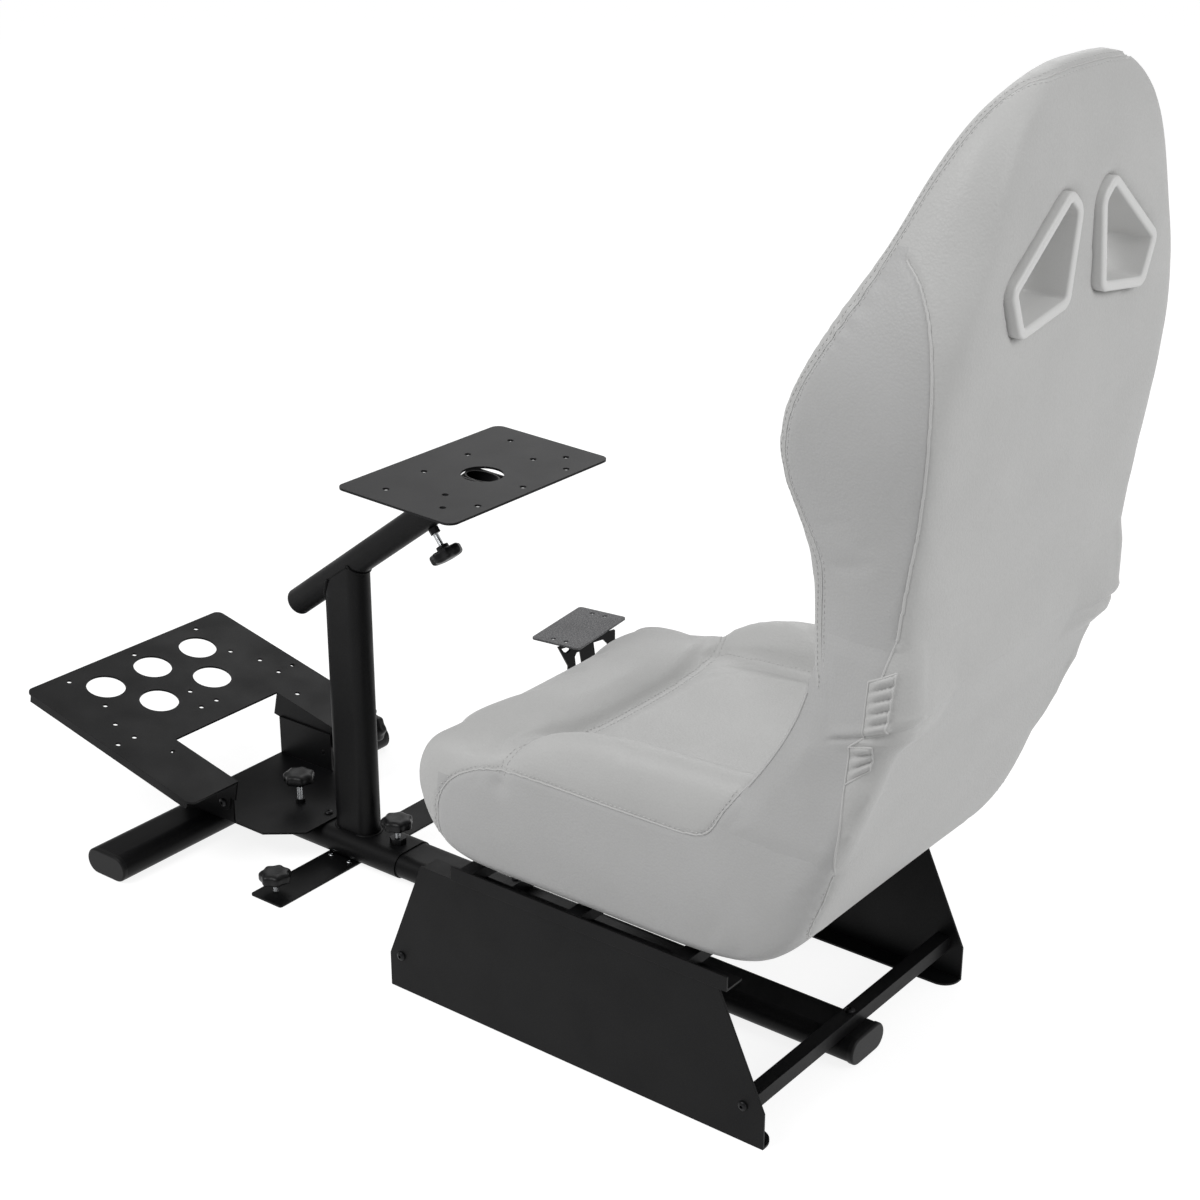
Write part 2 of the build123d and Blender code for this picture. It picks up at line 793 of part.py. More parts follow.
rail_foot_plane = Plane(origin=(0, rail_knob_y, sleeve_top_z))
bracket_foot_plane = Plane(origin=(0, bracket_knob_y, sleeve_top_z))
bar_foot_plane = Plane(origin=(bar_knob_x, bar_knob_y, bar_stud_rise))
column_foot_plane = Plane(
    origin=column_foot
    + column_way * (column_length - column_knob_from_top)
    + column_down * (column_diameter / 2),
    x_dir=(1, 0, 0),
    z_dir=column_down,
)
clamps = (
    ("rail", rail_foot_plane, rail_stud),
    ("bracket", bracket_foot_plane, bracket_stud),
    ("bar", bar_foot_plane, bar_stud),
    ("column", column_foot_plane, column_stud),
)
for name, place, length in clamps:
    save(star_knob(place.offset(length)), f"{name}_knob")
save_group([knob_stud(place, length) for name, place, length in clamps], "clamp_studs")
save_group(
    [
        clamp_nut(rail_foot_plane, collar_radius, collar_height),
        clamp_nut(bracket_foot_plane.offset(sheet), nut_radius, nut_height),
        clamp_nut(column_foot_plane, nut_radius, collar_height),
    ],
    "clamp_nuts",
)

tilt_start_x = bracket_outer_x - sheet - pivot_end
tilt_foot_plane = facing(-1, pivot_y, pivot_z, tilt_start_x)
tilt_stud_length = pedal_width / 2 + tilt_knob_gap - tilt_start_x
save(knob_stud(tilt_foot_plane, tilt_stud_length), "tilt_stud")
save(star_knob(tilt_foot_plane.offset(tilt_stud_length)), "tilt_knob")


# Shifter arm, riser and plate

arm_outer_x = -plate_inner_x
arm_near_x = arm_outer_x + arm_width
with BuildPart() as shifter_arm:
    with BuildSketch(Plane.XY.offset(arm_top_z - arm_thickness)) as arm_face:
        with BuildLine():
            Polyline(
                (arm_outer_x, arm_rear_y),
                (arm_near_x, arm_rear_y),
                (arm_near_x, arm_corner_y),
                (arm_end_x, arm_end_front_y),
                (arm_end_x, arm_end_rear_y),
                (arm_outer_x, arm_inner_corner_y),
                close=True,
            )
        make_face()
        near_corner = arm_face.vertices().sort_by_distance((arm_near_x, arm_corner_y))[0]
        fillet(near_corner, arm_corner_radius)
    extrude(amount=arm_thickness)
    # The lip along the near edge
    with BuildSketch(Plane.XY.offset(arm_top_z - arm_lip)):
        lip_front = arm_corner_y + 2 * arm_corner_radius
        with Locations((arm_near_x - sheet / 2, (arm_rear_y + lip_front) / 2)):
            Rectangle(sheet, arm_rear_y - lip_front)
    extrude(amount=arm_lip)
    # The tab that the two bolts hold against the side plate
    with BuildSketch(Plane.YZ.offset(arm_outer_x)):
        with Locations((arm_rear_y - arm_tab_length / 2, arm_top_z + arm_tab_height / 2)):
            Rectangle(arm_tab_length, arm_tab_height)
        with Locations(*[(y, arm_bolt_z) for y in arm_bolt_ys]):
            Circle(bolt_radius + bolt_gap, mode=Mode.SUBTRACT)
    extrude(amount=sheet)
save(shifter_arm.part, "shifter_arm")

arm_bolts = [
    bolt(facing(-1, y, arm_bolt_z, plate_outer_x), 2 * sheet + 2) for y in arm_bolt_ys
]
save_group(arm_bolts, "shifter_arm_bolts")

riser_way = (cos(radians(riser_turn)), -sin(radians(riser_turn)), 0)
riser_plane = Plane(
    origin=(riser_x, riser_y, arm_top_z),
    x_dir=riser_way,
    z_dir=(-sin(radians(riser_turn)), -cos(radians(riser_turn)), 0),
)
with BuildPart() as riser:
    with BuildSketch(riser_plane):
        with BuildLine():
            Polyline(
                (riser_foot, 0), (0, 0), (0, riser_height), (riser_head, riser_height), riser_shoulder
            )
            Spline(riser_shoulder, *riser_throat, (riser_foot, 0))
        make_face()
        for window in riser_windows:
            with BuildLine():
                Polyline(*window, close=True)
            make_face(mode=Mode.SUBTRACT)
    extrude(amount=riser_thickness / 2, both=True)
save(riser.part, "shifter_riser")

shifter_plane = Plane(
    origin=(shifter_plate_x, shifter_plate_y, arm_top_z + riser_height)
).rotated((0, 0, shifter_plate_turn))
with BuildPart() as shifter_plate:
    with BuildSketch(shifter_plane) as shifter_face:
        Rectangle(shifter_plate_length, shifter_plate_width)
        fillet(shifter_face.vertices(), shifter_plate_corner)
        with GridLocations(
            shifter_plate_length - 2 * shifter_hole_end, shifter_hole_spacing, 2, 2
        ):
            Circle(shifter_hole / 2, mode=Mode.SUBTRACT)
    extrude(amount=sheet)
save(shifter_plate.part, "shifter_plate")


# Seat base, a padded shell that rests on the crossbars

def in_seat(start_y, points):
    """Points given behind start_y and above the crossbars."""
    return [(start_y + y, rail_top_z + z) for y, z in points]


cradle_z = recline_z - cradle_drop
boss_front_y = recline_y - recline_radius
cushion_outline = [
    (seat_front_y + seat_front_lean, rail_top_z),
    *in_seat(seat_front_y, nose_outline),
    *in_seat(seat_front_y, pan_outline),
    *in_seat(recline_y, pan_rear_outline),
    (boss_front_y, rail_top_z + pan_rear_height),
    (boss_front_y, cradle_z),
    (recline_y + cradle_rear, cradle_z),
    *in_seat(recline_y, tail_outline),
]
side_outline = [
    (seat_front_y + bolster_outline[0][0], rail_top_z + bolster_foot),
    *in_seat(seat_front_y, bolster_outline),
    *in_seat(recline_y, bolster_rear_outline),
    (boss_front_y, cradle_z),
    (boss_front_y, rail_top_z + bolster_foot),
]

with BuildPart() as cushion:
    with BuildSketch(Plane.YZ):
        with BuildLine():
            Polyline(*cushion_outline, close=True)
        make_face()
    extrude(amount=seat_half_width, both=True)
    for side in (1, -1):
        with BuildSketch(Plane.YZ.offset(side * bolster_inner_x)):
            with BuildLine():
                Polyline(*side_outline, close=True)
            make_face()
        extrude(amount=side * (seat_half_width - bolster_inner_x))
    with BuildSketch(Plane.YZ):
        with Locations((recline_y, recline_z)):
            Circle(recline_radius + recline_gap)
    extrude(amount=cradle_half_width, both=True, mode=Mode.SUBTRACT)
    # The cheeks that hold the hinge, outside the boss
    for side in (1, -1):
        with BuildSketch(Plane.YZ.offset(side * cradle_half_width)):
            with Locations((recline_y, recline_z)):
                Circle(cheek_radius)
            with BuildLine():
                Polyline(
                    (recline_y - cheek_radius, recline_z),
                    (recline_y + cheek_radius, recline_z),
                    (recline_y + cradle_rear, cradle_z - recline_gap),
                    (recline_y - cheek_radius, cradle_z - recline_gap),
                    close=True,
                )
            make_face()
        extrude(amount=side * (seat_half_width - cradle_half_width))
save(cushion.part, "seat_cushion")


def recliner(side):
    """A steel disc on the cheek's inner face, with the pin that the seat back turns on."""
    with BuildPart() as hinge:
        with BuildSketch(Plane.YZ.offset(side * cradle_half_width)):
            with Locations((recline_y, recline_z)):
                Circle(recliner_disc_radius)
        extrude(amount=-side * recliner_disc)
        with BuildSketch(Plane.YZ.offset(side * cradle_half_width)):
            with Locations((recline_y, recline_z)):
                Circle(recliner_pin_radius)
        extrude(amount=-side * recliner_pin_reach)
    return hinge.part


for side, name in ((1, "left"), (-1, "right")):
    save(recliner(side), f"recliner_{name}")


# Seat back, lofted through its level sections, with its boss and harness holes

def back_outline(half, rear, wing, middle):
    """Points round one level section, from the middle of its rear face to the left."""
    right = [
        (half * 0.55, rear - 2),
        (half * 0.86, rear - (rear - wing) * 0.14),
        (half, rear - (rear - wing) * 0.42),
        (half * 0.96, wing + (rear - wing) * 0.12),
        (half * 0.84, wing),
        (half * 0.68, (wing + middle) / 2),
        (half * 0.5, middle),
    ]
    left = [(-x, y) for x, y in reversed(right)]
    return [(x, recline_y + y) for x, y in ((0, rear), *right, (0, middle + 2), *left)]


def harness_hole(side):
    """The five-sided outline of a harness hole, in the open sketch."""
    Polygon(*[(side * x, recline_z + z) for x, z in harness_outline], align=None)


with BuildPart() as seat_back:
    for height, beyond, rear, wing, middle in back_sections:
        half = seat_half_width + beyond
        with BuildSketch(Plane.XY.offset(recline_z + height)):
            with BuildLine():
                Spline(*back_outline(half, rear, wing, middle), periodic=True)
            make_face()
    loft()
    # Room for the base's cheeks, then the boss between them
    for side in (1, -1):
        with BuildSketch(Plane.YZ.offset(side * recline_half_width)):
            with Locations((recline_y, recline_z)):
                Circle(cheek_radius + recline_gap)
        extrude(amount=side * seat_half_width, mode=Mode.SUBTRACT)
    with BuildSketch(Plane.YZ):
        with Locations((recline_y, recline_z)):
            Circle(recline_radius)
    extrude(amount=recline_half_width, both=True)
    for side in (1, -1):
        with BuildSketch(Plane.YZ.offset(side * recline_half_width)):
            with Locations((recline_y, recline_z)):
                Circle(recliner_pin_radius + pivot_gap)
        extrude(amount=-side * recliner_pin_reach, mode=Mode.SUBTRACT)
    with BuildSketch(Plane.XZ.offset(-recline_y)) as holes:
        for side in (1, -1):
            harness_hole(side)
        fillet(holes.vertices(), harness_corner)
    extrude(amount=-2 * bezel_rear, both=True, mode=Mode.SUBTRACT)
save(seat_back.part, "seat_back")


def harness_bezel(side):
    """A plastic ring that lines a harness hole from front to rear."""
    with BuildPart() as bezel:
        with BuildSketch(Plane.XZ.offset(-recline_y - bezel_front)) as ring:
            harness_hole(side)
            fillet(ring.vertices(), harness_corner)
            offset(amount=-bezel_width, mode=Mode.SUBTRACT)
        extrude(amount=-(bezel_rear - bezel_front))
    return bezel.part


save_group([harness_bezel(side) for side in (1, -1)], "harness_bezels")
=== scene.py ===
import math

import bmesh
import bpy
import numpy as np
from mathutils import Matrix, Vector
from mathutils.bvhtree import BVHTree
from mathutils.geometry import interpolate_bezier


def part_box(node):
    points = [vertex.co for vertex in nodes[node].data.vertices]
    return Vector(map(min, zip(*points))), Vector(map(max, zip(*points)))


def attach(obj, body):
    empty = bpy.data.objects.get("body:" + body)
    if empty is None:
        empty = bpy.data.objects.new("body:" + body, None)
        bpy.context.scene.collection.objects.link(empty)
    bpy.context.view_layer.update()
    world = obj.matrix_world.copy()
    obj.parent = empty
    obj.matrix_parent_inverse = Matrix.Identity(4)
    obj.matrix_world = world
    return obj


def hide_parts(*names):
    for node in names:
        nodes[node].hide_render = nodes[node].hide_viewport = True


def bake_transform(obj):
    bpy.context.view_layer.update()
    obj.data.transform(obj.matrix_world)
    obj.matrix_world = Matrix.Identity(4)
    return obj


# Sim racing cockpit: powder coated steel frame, wheel deck, pedal deck, shifter arm, reclining seat
# Metres. +X is the driver's left, +Y is rearward, +Z is up.

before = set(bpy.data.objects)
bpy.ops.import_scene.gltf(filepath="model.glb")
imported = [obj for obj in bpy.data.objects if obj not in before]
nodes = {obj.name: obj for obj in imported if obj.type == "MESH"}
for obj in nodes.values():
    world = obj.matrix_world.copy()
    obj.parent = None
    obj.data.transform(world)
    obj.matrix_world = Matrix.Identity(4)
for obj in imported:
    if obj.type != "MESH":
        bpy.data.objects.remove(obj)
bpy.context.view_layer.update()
print("frame:", len(nodes), "nodes")


# Small tools

def mm(value):
    return value / 1000.0


def hexToLinear(code):
    channels = [int(code[i:i + 2], 16) / 255 for i in (1, 3, 5)]
    linear = [c / 12.92 if c <= 0.04045 else ((c + 0.055) / 1.055) ** 2.4 for c in channels]
    return (*linear, 1.0)


def clearSelection():
    if bpy.context.object and bpy.context.object.mode != 'OBJECT':
        bpy.ops.object.mode_set(mode='OBJECT')
    bpy.ops.object.select_all(action='DESELECT')


def pickOnly(piece):
    clearSelection()
    piece.select_set(True)
    bpy.context.view_layer.objects.active = piece


def inEditMode(piece, test=None):
    # enters edit mode with the faces that pass the test selected, or all of them
    pickOnly(piece)
    bpy.ops.object.mode_set(mode='EDIT')
    bpy.ops.mesh.select_mode(type='FACE')
    bpy.ops.mesh.select_all(action='SELECT' if test is None else 'DESELECT')
    if test is not None:
        bpy.ops.object.mode_set(mode='OBJECT')
        for face in piece.data.polygons:
            face.select = bool(test(face.center, face.normal))
        bpy.ops.object.mode_set(mode='EDIT')


def applyModifier(piece, kind, **settings):
    pickOnly(piece)
    modifier = piece.modifiers.new(kind.lower(), kind)
    for name, value in settings.items():
        setattr(modifier, name, value)
    bpy.ops.object.modifier_apply(modifier=modifier.name)


def placeMesh(piece, place=None):
    # moves the mesh itself, so that the finished object stays at the origin
    if place is not None:
        piece.data.transform(place)
    pickOnly(piece)
    bpy.ops.object.transform_apply(location=True, rotation=True, scale=True)


def facingOut(piece):
    inEditMode(piece)
    bpy.ops.mesh.remove_doubles(threshold=1e-5)
    bpy.ops.mesh.normals_make_consistent(inside=False)
    bpy.ops.object.mode_set(mode='OBJECT')


def smoothShade(piece, angle=40):
    pickOnly(piece)
    bpy.ops.object.shade_smooth_by_angle(angle=math.radians(angle))


def joined(pieces, name):
    clearSelection()
    for piece in pieces:
        piece.select_set(True)
    bpy.context.view_layer.objects.active = pieces[0]
    if len(pieces) > 1:
        bpy.ops.object.join()
    result = bpy.context.view_layer.objects.active
    result.name = name
    return result


def copyOf(piece, place):
    twin = piece.copy()
    twin.data = piece.data.copy()
    bpy.context.scene.collection.objects.link(twin)
    twin.data.transform(place)
    return twin


def dress(piece, material):
    piece.data.materials.clear()
    piece.data.materials.append(material)


def hand(piece, body, replaced=()):
    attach(piece, body)
    if replaced:
        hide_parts(*replaced)


def coordsOf(piece):
    coords = np.empty(len(piece.data.vertices) * 3)
    piece.data.vertices.foreach_get("co", coords)
    return coords.reshape(-1, 3)


def setCoords(piece, coords):
    piece.data.vertices.foreach_set("co", np.ascontiguousarray(coords).ravel())
    piece.data.update()


def normalsOf(piece):
    normals = np.empty(len(piece.data.vertices) * 3)
    piece.data.vertices.foreach_get("normal", normals)
    return normals.reshape(-1, 3)


def frameAlong(origin, zWay, xWay=(1, 0, 0)):
    # a place whose Z runs along zWay, with X as near xWay as it can be
    up = Vector(zWay).normalized()
    side = Vector(xWay)
    side = (side - up * side.dot(up)).normalized()
    turn = Matrix((side, up.cross(side), up)).transposed().to_4x4()
    return Matrix.Translation(Vector(origin)) @ turn


# Materials

def addNode(tree, kind, settings=None, links=None):
    node = tree.nodes.new(kind)
    for name, value in (settings or {}).items():
        if isinstance(name, str) and hasattr(node, name):
            setattr(node, name, value)
        else:
            node.inputs[name].default_value = value
    for name, socket in (links or {}).items():
        tree.links.new(socket, node.inputs[name])
    return node


def newMaterial(name, shaderSettings):
    material = bpy.data.materials.new(name)
    material.use_nodes = True
    tree = material.node_tree
    shader = tree.nodes["Principled BSDF"]
    for socket, value in shaderSettings.items():
        shader.inputs[socket].default_value = value
    return material, tree, shader


def finishSurface(tree, shader, colour, roughness, bump=None):
    tree.links.new(colour, shader.inputs["Base Color"])
    tree.links.new(roughness, shader.inputs["Roughness"])
    if bump is not None:
        tree.links.new(bump, shader.inputs["Normal"])


coats = {
    # base and speck colours, grain and its depth in mm, roughness and its spread, specular level
    "frame": ("#0a0a0b", "#171718", 1.3, 0.05, 0.44, 0.06, 0.13),
    "plate": ("#1e1e1f", "#272728", 1.1, 0.03, 0.40, 0.015, 0.09),
    "coarse": ("#464647", "#858587", 2.2, 0.14, 0.60, 0.06, 0.32),
}
coatPatches = 65    # size in mm of the patches that are a little smoother or rougher
leather = {
    # sizes in mm: the pebbles, the bends of their outlines, the cloudy patches, the depth of the grain
    "cell": 3, "bend": 7, "cloud": 120, "depth": 0.34,
    "bendReach": mm(2.0), "cellSmoothness": 0.3, "bump": 0.75,
}


def powderCoat(name, kind):
    # polyester powder sprayed and baked: a fine orange-peel grain that breaks up the highlights
    # the grain of the real coat is about 0.3 mm, drawn coarser so that it shows
    base, speck, grain, depth, roughness, uneven, specular = coats[kind]
    material, tree, shader = newMaterial(name, {"IOR": 1.5, "Specular IOR Level": specular})
    place = addNode(tree, "ShaderNodeTexCoord").outputs["Object"]
    fine = addNode(
        tree, "ShaderNodeTexNoise",
        {"Scale": 1000 / grain, "Detail": 3.0, "Roughness": 0.62}, {"Vector": place},
    ).outputs["Fac"]
    broad = addNode(
        tree, "ShaderNodeTexNoise", {"Scale": 1000 / coatPatches, "Detail": 2.0}, {"Vector": place}
    ).outputs["Fac"]
    speckle = addNode(
        tree, "ShaderNodeMapRange",
        {"From Min": 0.42, "From Max": 0.72, "To Min": 0.0, "To Max": 1.0}, {"Value": fine},
    ).outputs["Result"]
    colour = addNode(
        tree, "ShaderNodeMix", {"data_type": 'RGBA', 6: hexToLinear(base), 7: hexToLinear(speck)},
        {0: speckle},
    ).outputs[2]
    sheen = addNode(
        tree, "ShaderNodeMapRange",
        {"From Min": 0.3, "From Max": 0.7, "To Min": roughness - uneven, "To Max": roughness + uneven},
        {"Value": broad},
    ).outputs["Result"]
    rounded = addNode(tree, "ShaderNodeBevel", {"samples": 4, "Radius": mm(0.8)}).outputs["Normal"]
    bump = addNode(
        tree, "ShaderNodeBump", {"Strength": 0.8, "Distance": mm(depth)},
        {"Height": fine, "Normal": rounded},
    ).outputs["Normal"]
    finishSurface(tree, shader, colour, sheen, bump)
    return material


def leatherette(name, light, dark):
    # embossed PVC on a knitted backing: soft pebble grain with a low sheen
    # the real pebbles are about 1.5 mm, drawn at 3 mm so that they show
    material, tree, shader = newMaterial(
        name, {"IOR": 1.5, "Specular IOR Level": 0.4, "Sheen Weight": 0.12, "Sheen Roughness": 0.4}
    )
    place = addNode(tree, "ShaderNodeTexCoord").outputs["Object"]
    bent = addNode(
        tree, "ShaderNodeTexNoise", {"Scale": 1000 / leather["bend"], "Detail": 1.0}, {"Vector": place}
    ).outputs["Color"]
    warped = addNode(
        tree, "ShaderNodeVectorMath", {"operation": 'MULTIPLY_ADD', 1: (leather["bendReach"],) * 3},
        {0: bent, 2: place},
    ).outputs["Vector"]
    cells = addNode(
        tree, "ShaderNodeTexVoronoi",
        {
            "feature": 'SMOOTH_F1', "Scale": 1000 / leather["cell"],
            "Smoothness": leather["cellSmoothness"],
        },
        {"Vector": warped},
    ).outputs["Distance"]
    broad = addNode(
        tree, "ShaderNodeTexNoise", {"Scale": 1000 / leather["cloud"], "Detail": 3.0}, {"Vector": place}
    ).outputs["Fac"]
    clouds = addNode(
        tree, "ShaderNodeMapRange",
        {"From Min": 0.3, "From Max": 0.7, "To Min": 0.1, "To Max": 0.42}, {"Value": broad},
    ).outputs["Result"]
    tone = addNode(
        tree, "ShaderNodeMath", {"operation": 'MULTIPLY_ADD', 1: 0.22, "use_clamp": True},
        {0: cells, 2: clouds},
    ).outputs["Value"]
    colour = addNode(
        tree, "ShaderNodeMix", {"data_type": 'RGBA', 6: hexToLinear(light), 7: hexToLinear(dark)},
        {0: tone},
    ).outputs[2]
    sheen = addNode(
        tree, "ShaderNodeMapRange",
        {"From Min": 0.0, "From Max": 0.6, "To Min": 0.40, "To Max": 0.52}, {"Value": cells},
    ).outputs["Result"]
    bump = addNode(
        tree, "ShaderNodeBump",
        {"invert": True, "Strength": leather["bump"], "Distance": mm(leather["depth"])},
        {"Height": cells},
    ).outputs["Normal"]
    finishSurface(tree, shader, colour, sheen, bump)
    return material


def mouldedPlastic(name, base, other, roughness, grain=1.2, depth=0.03, specular=0.5):
    # injection moulded, with the fine spark-eroded texture of its mould
    material, tree, shader = newMaterial(name, {"IOR": 1.48, "Specular IOR Level": specular})
    place = addNode(tree, "ShaderNodeTexCoord").outputs["Object"]
    fine = addNode(
        tree, "ShaderNodeTexNoise", {"Scale": 1000 / grain, "Detail": 2.0}, {"Vector": place}
    ).outputs["Fac"]
    colour = addNode(
        tree, "ShaderNodeMix", {"data_type": 'RGBA', 6: hexToLinear(base), 7: hexToLinear(other)},
        {0: fine},
    ).outputs[2]
    sheen = addNode(
        tree, "ShaderNodeMapRange",
        {"From Min": 0.3, "From Max": 0.7, "To Min": roughness - 0.04, "To Max": roughness + 0.05},
        {"Value": fine},
    ).outputs["Result"]
    bump = addNode(
        tree, "ShaderNodeBump", {"Strength": 0.7, "Distance": mm(depth)}, {"Height": fine}
    ).outputs["Normal"]
    finishSurface(tree, shader, colour, sheen, bump)
    return material


def platedSteel(name, base, other, roughness, metallic=1.0):
    # bright zinc or black oxide on turned steel: small clouds that are a little duller, 4 mm across
    material, tree, shader = newMaterial(name, {"Metallic": metallic})
    place = addNode(tree, "ShaderNodeTexCoord").outputs["Object"]
    cloud = addNode(
        tree, "ShaderNodeTexNoise", {"Scale": 1000 / 4, "Detail": 4.0}, {"Vector": place}
    ).outputs["Fac"]
    colour = addNode(
        tree, "ShaderNodeMix", {"data_type": 'RGBA', 6: hexToLinear(base), 7: hexToLinear(other)},
        {0: cloud},
    ).outputs[2]
    sheen = addNode(
        tree, "ShaderNodeMapRange",
        {"From Min": 0.3, "From Max": 0.7, "To Min": roughness - 0.06, "To Max": roughness + 0.08},
        {"Value": cloud},
    ).outputs["Result"]
    finishSurface(tree, shader, colour, sheen)
    return material


def twistedThread(name, base, other):
    # bonded polyester sewing thread, its twist drawn at 1 mm
    material, tree, shader = newMaterial(name, {"Roughness": 0.62, "Sheen Weight": 0.3})
    place = addNode(tree, "ShaderNodeTexCoord").outputs["Object"]
    twist = addNode(
        tree, "ShaderNodeTexWave", {"Scale": 1000 / 3, "Distortion": 1.5}, {"Vector": place}
    ).outputs["Fac"]
    colour = addNode(
        tree, "ShaderNodeMix", {"data_type": 'RGBA', 6: hexToLinear(base), 7: hexToLinear(other)},
        {0: twist},
    ).outputs[2]
    tree.links.new(colour, shader.inputs["Base Color"])
    bump = addNode(tree, "ShaderNodeBump", {"Strength": 0.4, "Distance": mm(0.2)}, {"Height": twist})
    tree.links.new(bump.outputs["Normal"], shader.inputs["Normal"])
    return material


frameCoat = powderCoat("blackPowderCoat", "frame")
wheelPlateCoat = powderCoat("satinPowderCoat", "plate")
shifterPlateCoat = powderCoat("coarsePowderCoat", "coarse")
seatLeather = leatherette("greyLeatherette", "#c4c4c3", "#b4b4b3")
# painted shade: the same leatherette made darker for the boxed side panels
shadedSideLeather = leatherette("shadedLeatherette", "#bababa", "#adadac")
pipingVinyl = mouldedPlastic("vinylPiping", "#c6c6c5", "#bdbdbc", 0.42)
bezelPlastic = mouldedPlastic("satinABS", "#dcdcdb", "#d3d3d2", 0.36)
knobPlastic = mouldedPlastic("blackNylon", "#0b0b0c", "#151516", 0.38, 1.6, 0.06, specular=0.26)
capPlastic = mouldedPlastic("blackPolyethylene", "#0c0c0d", "#131314", 0.42, specular=0.2)
zincSteel = platedSteel("brightZinc", "#c3c6c9", "#dcdee0", 0.22)
blackSteel = platedSteel("blackOxideSteel", "#161617", "#232325", 0.38, 0.75)
seamThread = twistedThread("polyesterThread", "#cfcfce", "#b2b2b1")

nodeCoats = {
    "wheel_plate": wheelPlateCoat,
    "shifter_plate": shifterPlateCoat,
    "spine_end_cap": capPlastic,
    "foot_end_caps": capPlastic,
    "column_plug": capPlastic,
    "clamp_nuts": blackSteel,
    "recliner_left": blackSteel,
    "recliner_right": blackSteel,
}
for name, node in nodes.items():
    dress(node, nodeCoats.get(name, frameCoat))
print("materials:", len(bpy.data.materials))


# Soft pieces: shared steps

def loftRings(name, rings):
    # a circle pulled up ring by ring, then each ring set on its own outline
    clearSelection()
    count = len(rings[0])
    bpy.ops.mesh.primitive_circle_add(vertices=count, radius=1, fill_type='NGON', enter_editmode=True)
    for _ in rings[1:]:
        bpy.ops.mesh.extrude_region_move(TRANSFORM_OT_translate={"value": (0, 0, 1)})
    bpy.ops.object.mode_set(mode='OBJECT')
    piece = bpy.context.object
    piece.name = name
    for vertex in piece.data.vertices:
        turn = math.atan2(vertex.co.y, vertex.co.x) / (2 * math.pi) * count
        vertex.co = rings[round(vertex.co.z)][round(turn) % count]
    facingOut(piece)
    return piece


def roundPost(name, radius, xFrom, xTo, y, z, sides=96):
    # a bar along X
    clearSelection()
    bpy.ops.mesh.primitive_cylinder_add(
        vertices=sides, radius=radius, depth=xTo - xFrom,
        location=((xFrom + xTo) / 2, y, z), rotation=(0, math.pi / 2, 0),
    )
    piece = bpy.context.object
    piece.name = name
    placeMesh(piece)
    return piece


def cutAway(piece, cutter):
    applyModifier(piece, 'BOOLEAN', operation='DIFFERENCE', object=cutter, solver='EXACT')
    bpy.data.objects.remove(cutter)


def remeshed(piece, voxel, smoothings):
    applyModifier(piece, 'REMESH', mode='VOXEL', voxel_size=voxel, adaptivity=0.0)
    inEditMode(piece)
    bpy.ops.mesh.vertices_smooth(factor=0.5, repeat=smoothings)
    bpy.ops.object.mode_set(mode='OBJECT')


puffing = {"frames": 20, "holdSteps": 10}
walkStep = mm(3)    # spacing of the points along a seam


def puffUp(piece, held, pressure, cap):
    # the foam swells against its cover, which is held where the test says so
    before = coordsOf(piece)
    group = piece.vertex_groups.new(name="held")
    keep = held(before)
    for step in range(puffing["holdSteps"] + 1):
        members = np.nonzero(np.round(keep * puffing["holdSteps"]) == step)[0]
        if len(members):
            group.add([int(i) for i in members], step / puffing["holdSteps"], 'REPLACE')
    pickOnly(piece)
    cloth = piece.modifiers.new("puff", 'CLOTH')
    cloth.settings.use_pressure = True
    cloth.settings.uniform_pressure_force = pressure
    cloth.settings.effector_weights.gravity = 0
    cloth.settings.vertex_group_mass = group.name
    cloth.point_cache.frame_start = 1
    cloth.point_cache.frame_end = puffing["frames"]
    for number in range(1, puffing["frames"] + 1):
        bpy.context.scene.frame_set(number)
    bpy.ops.object.modifier_apply(modifier=cloth.name)
    bpy.context.scene.frame_set(1)
    move = coordsOf(piece) - before
    reach = np.linalg.norm(move, axis=1, keepdims=True)
    move *= np.minimum(1.0, cap / np.maximum(reach, 1e-9))
    setCoords(piece, before + move)
    piece.vertex_groups.clear()
    print(piece.name, "swelled by up to", round(float(np.minimum(reach, cap).max()) * 1000, 1), "mm")


def treeOf(piece):
    return BVHTree.FromObject(piece, bpy.context.evaluated_depsgraph_get())


def smoothPath(points, step, closed=False):
    # an even walk along a smooth curve through the points
    points = [Vector(p) for p in points]
    count = len(points)
    walk = []
    for i in range(count if closed else count - 1):
        a, b = points[i], points[(i + 1) % count]
        before = points[i - 1] if closed or i > 0 else a
        after = points[(i + 2) % count] if closed or i + 2 < count else b
        pull = (b - a).length / 3
        startWay = (b - before).normalized() * pull
        endWay = (after - a).normalized() * pull
        walk += interpolate_bezier(a, a + startWay, b - endWay, b, 12)[:-1]
    if not closed:
        walk.append(points[-1])
    lengths = np.cumsum([0] + [(b - a).length for a, b in zip(walk, walk[1:])])
    places = np.arange(0, lengths[-1], step)
    table = np.array(walk)
    return [Vector([np.interp(s, lengths, table[:, k]) for k in range(3)]) for s in places]


def castOnto(tree, points, way):
    # drops each point onto the surface along the way, and leaves out those that miss it
    way = Vector(way)
    hits = [tree.ray_cast(Vector(p) - way * 0.5, way) for p in points]
    return [(hit[0], hit[1]) for hit in hits if hit[0] is not None]


def nearestOn(tree, points):
    return [tree.find_nearest(Vector(p))[:2] for p in points]


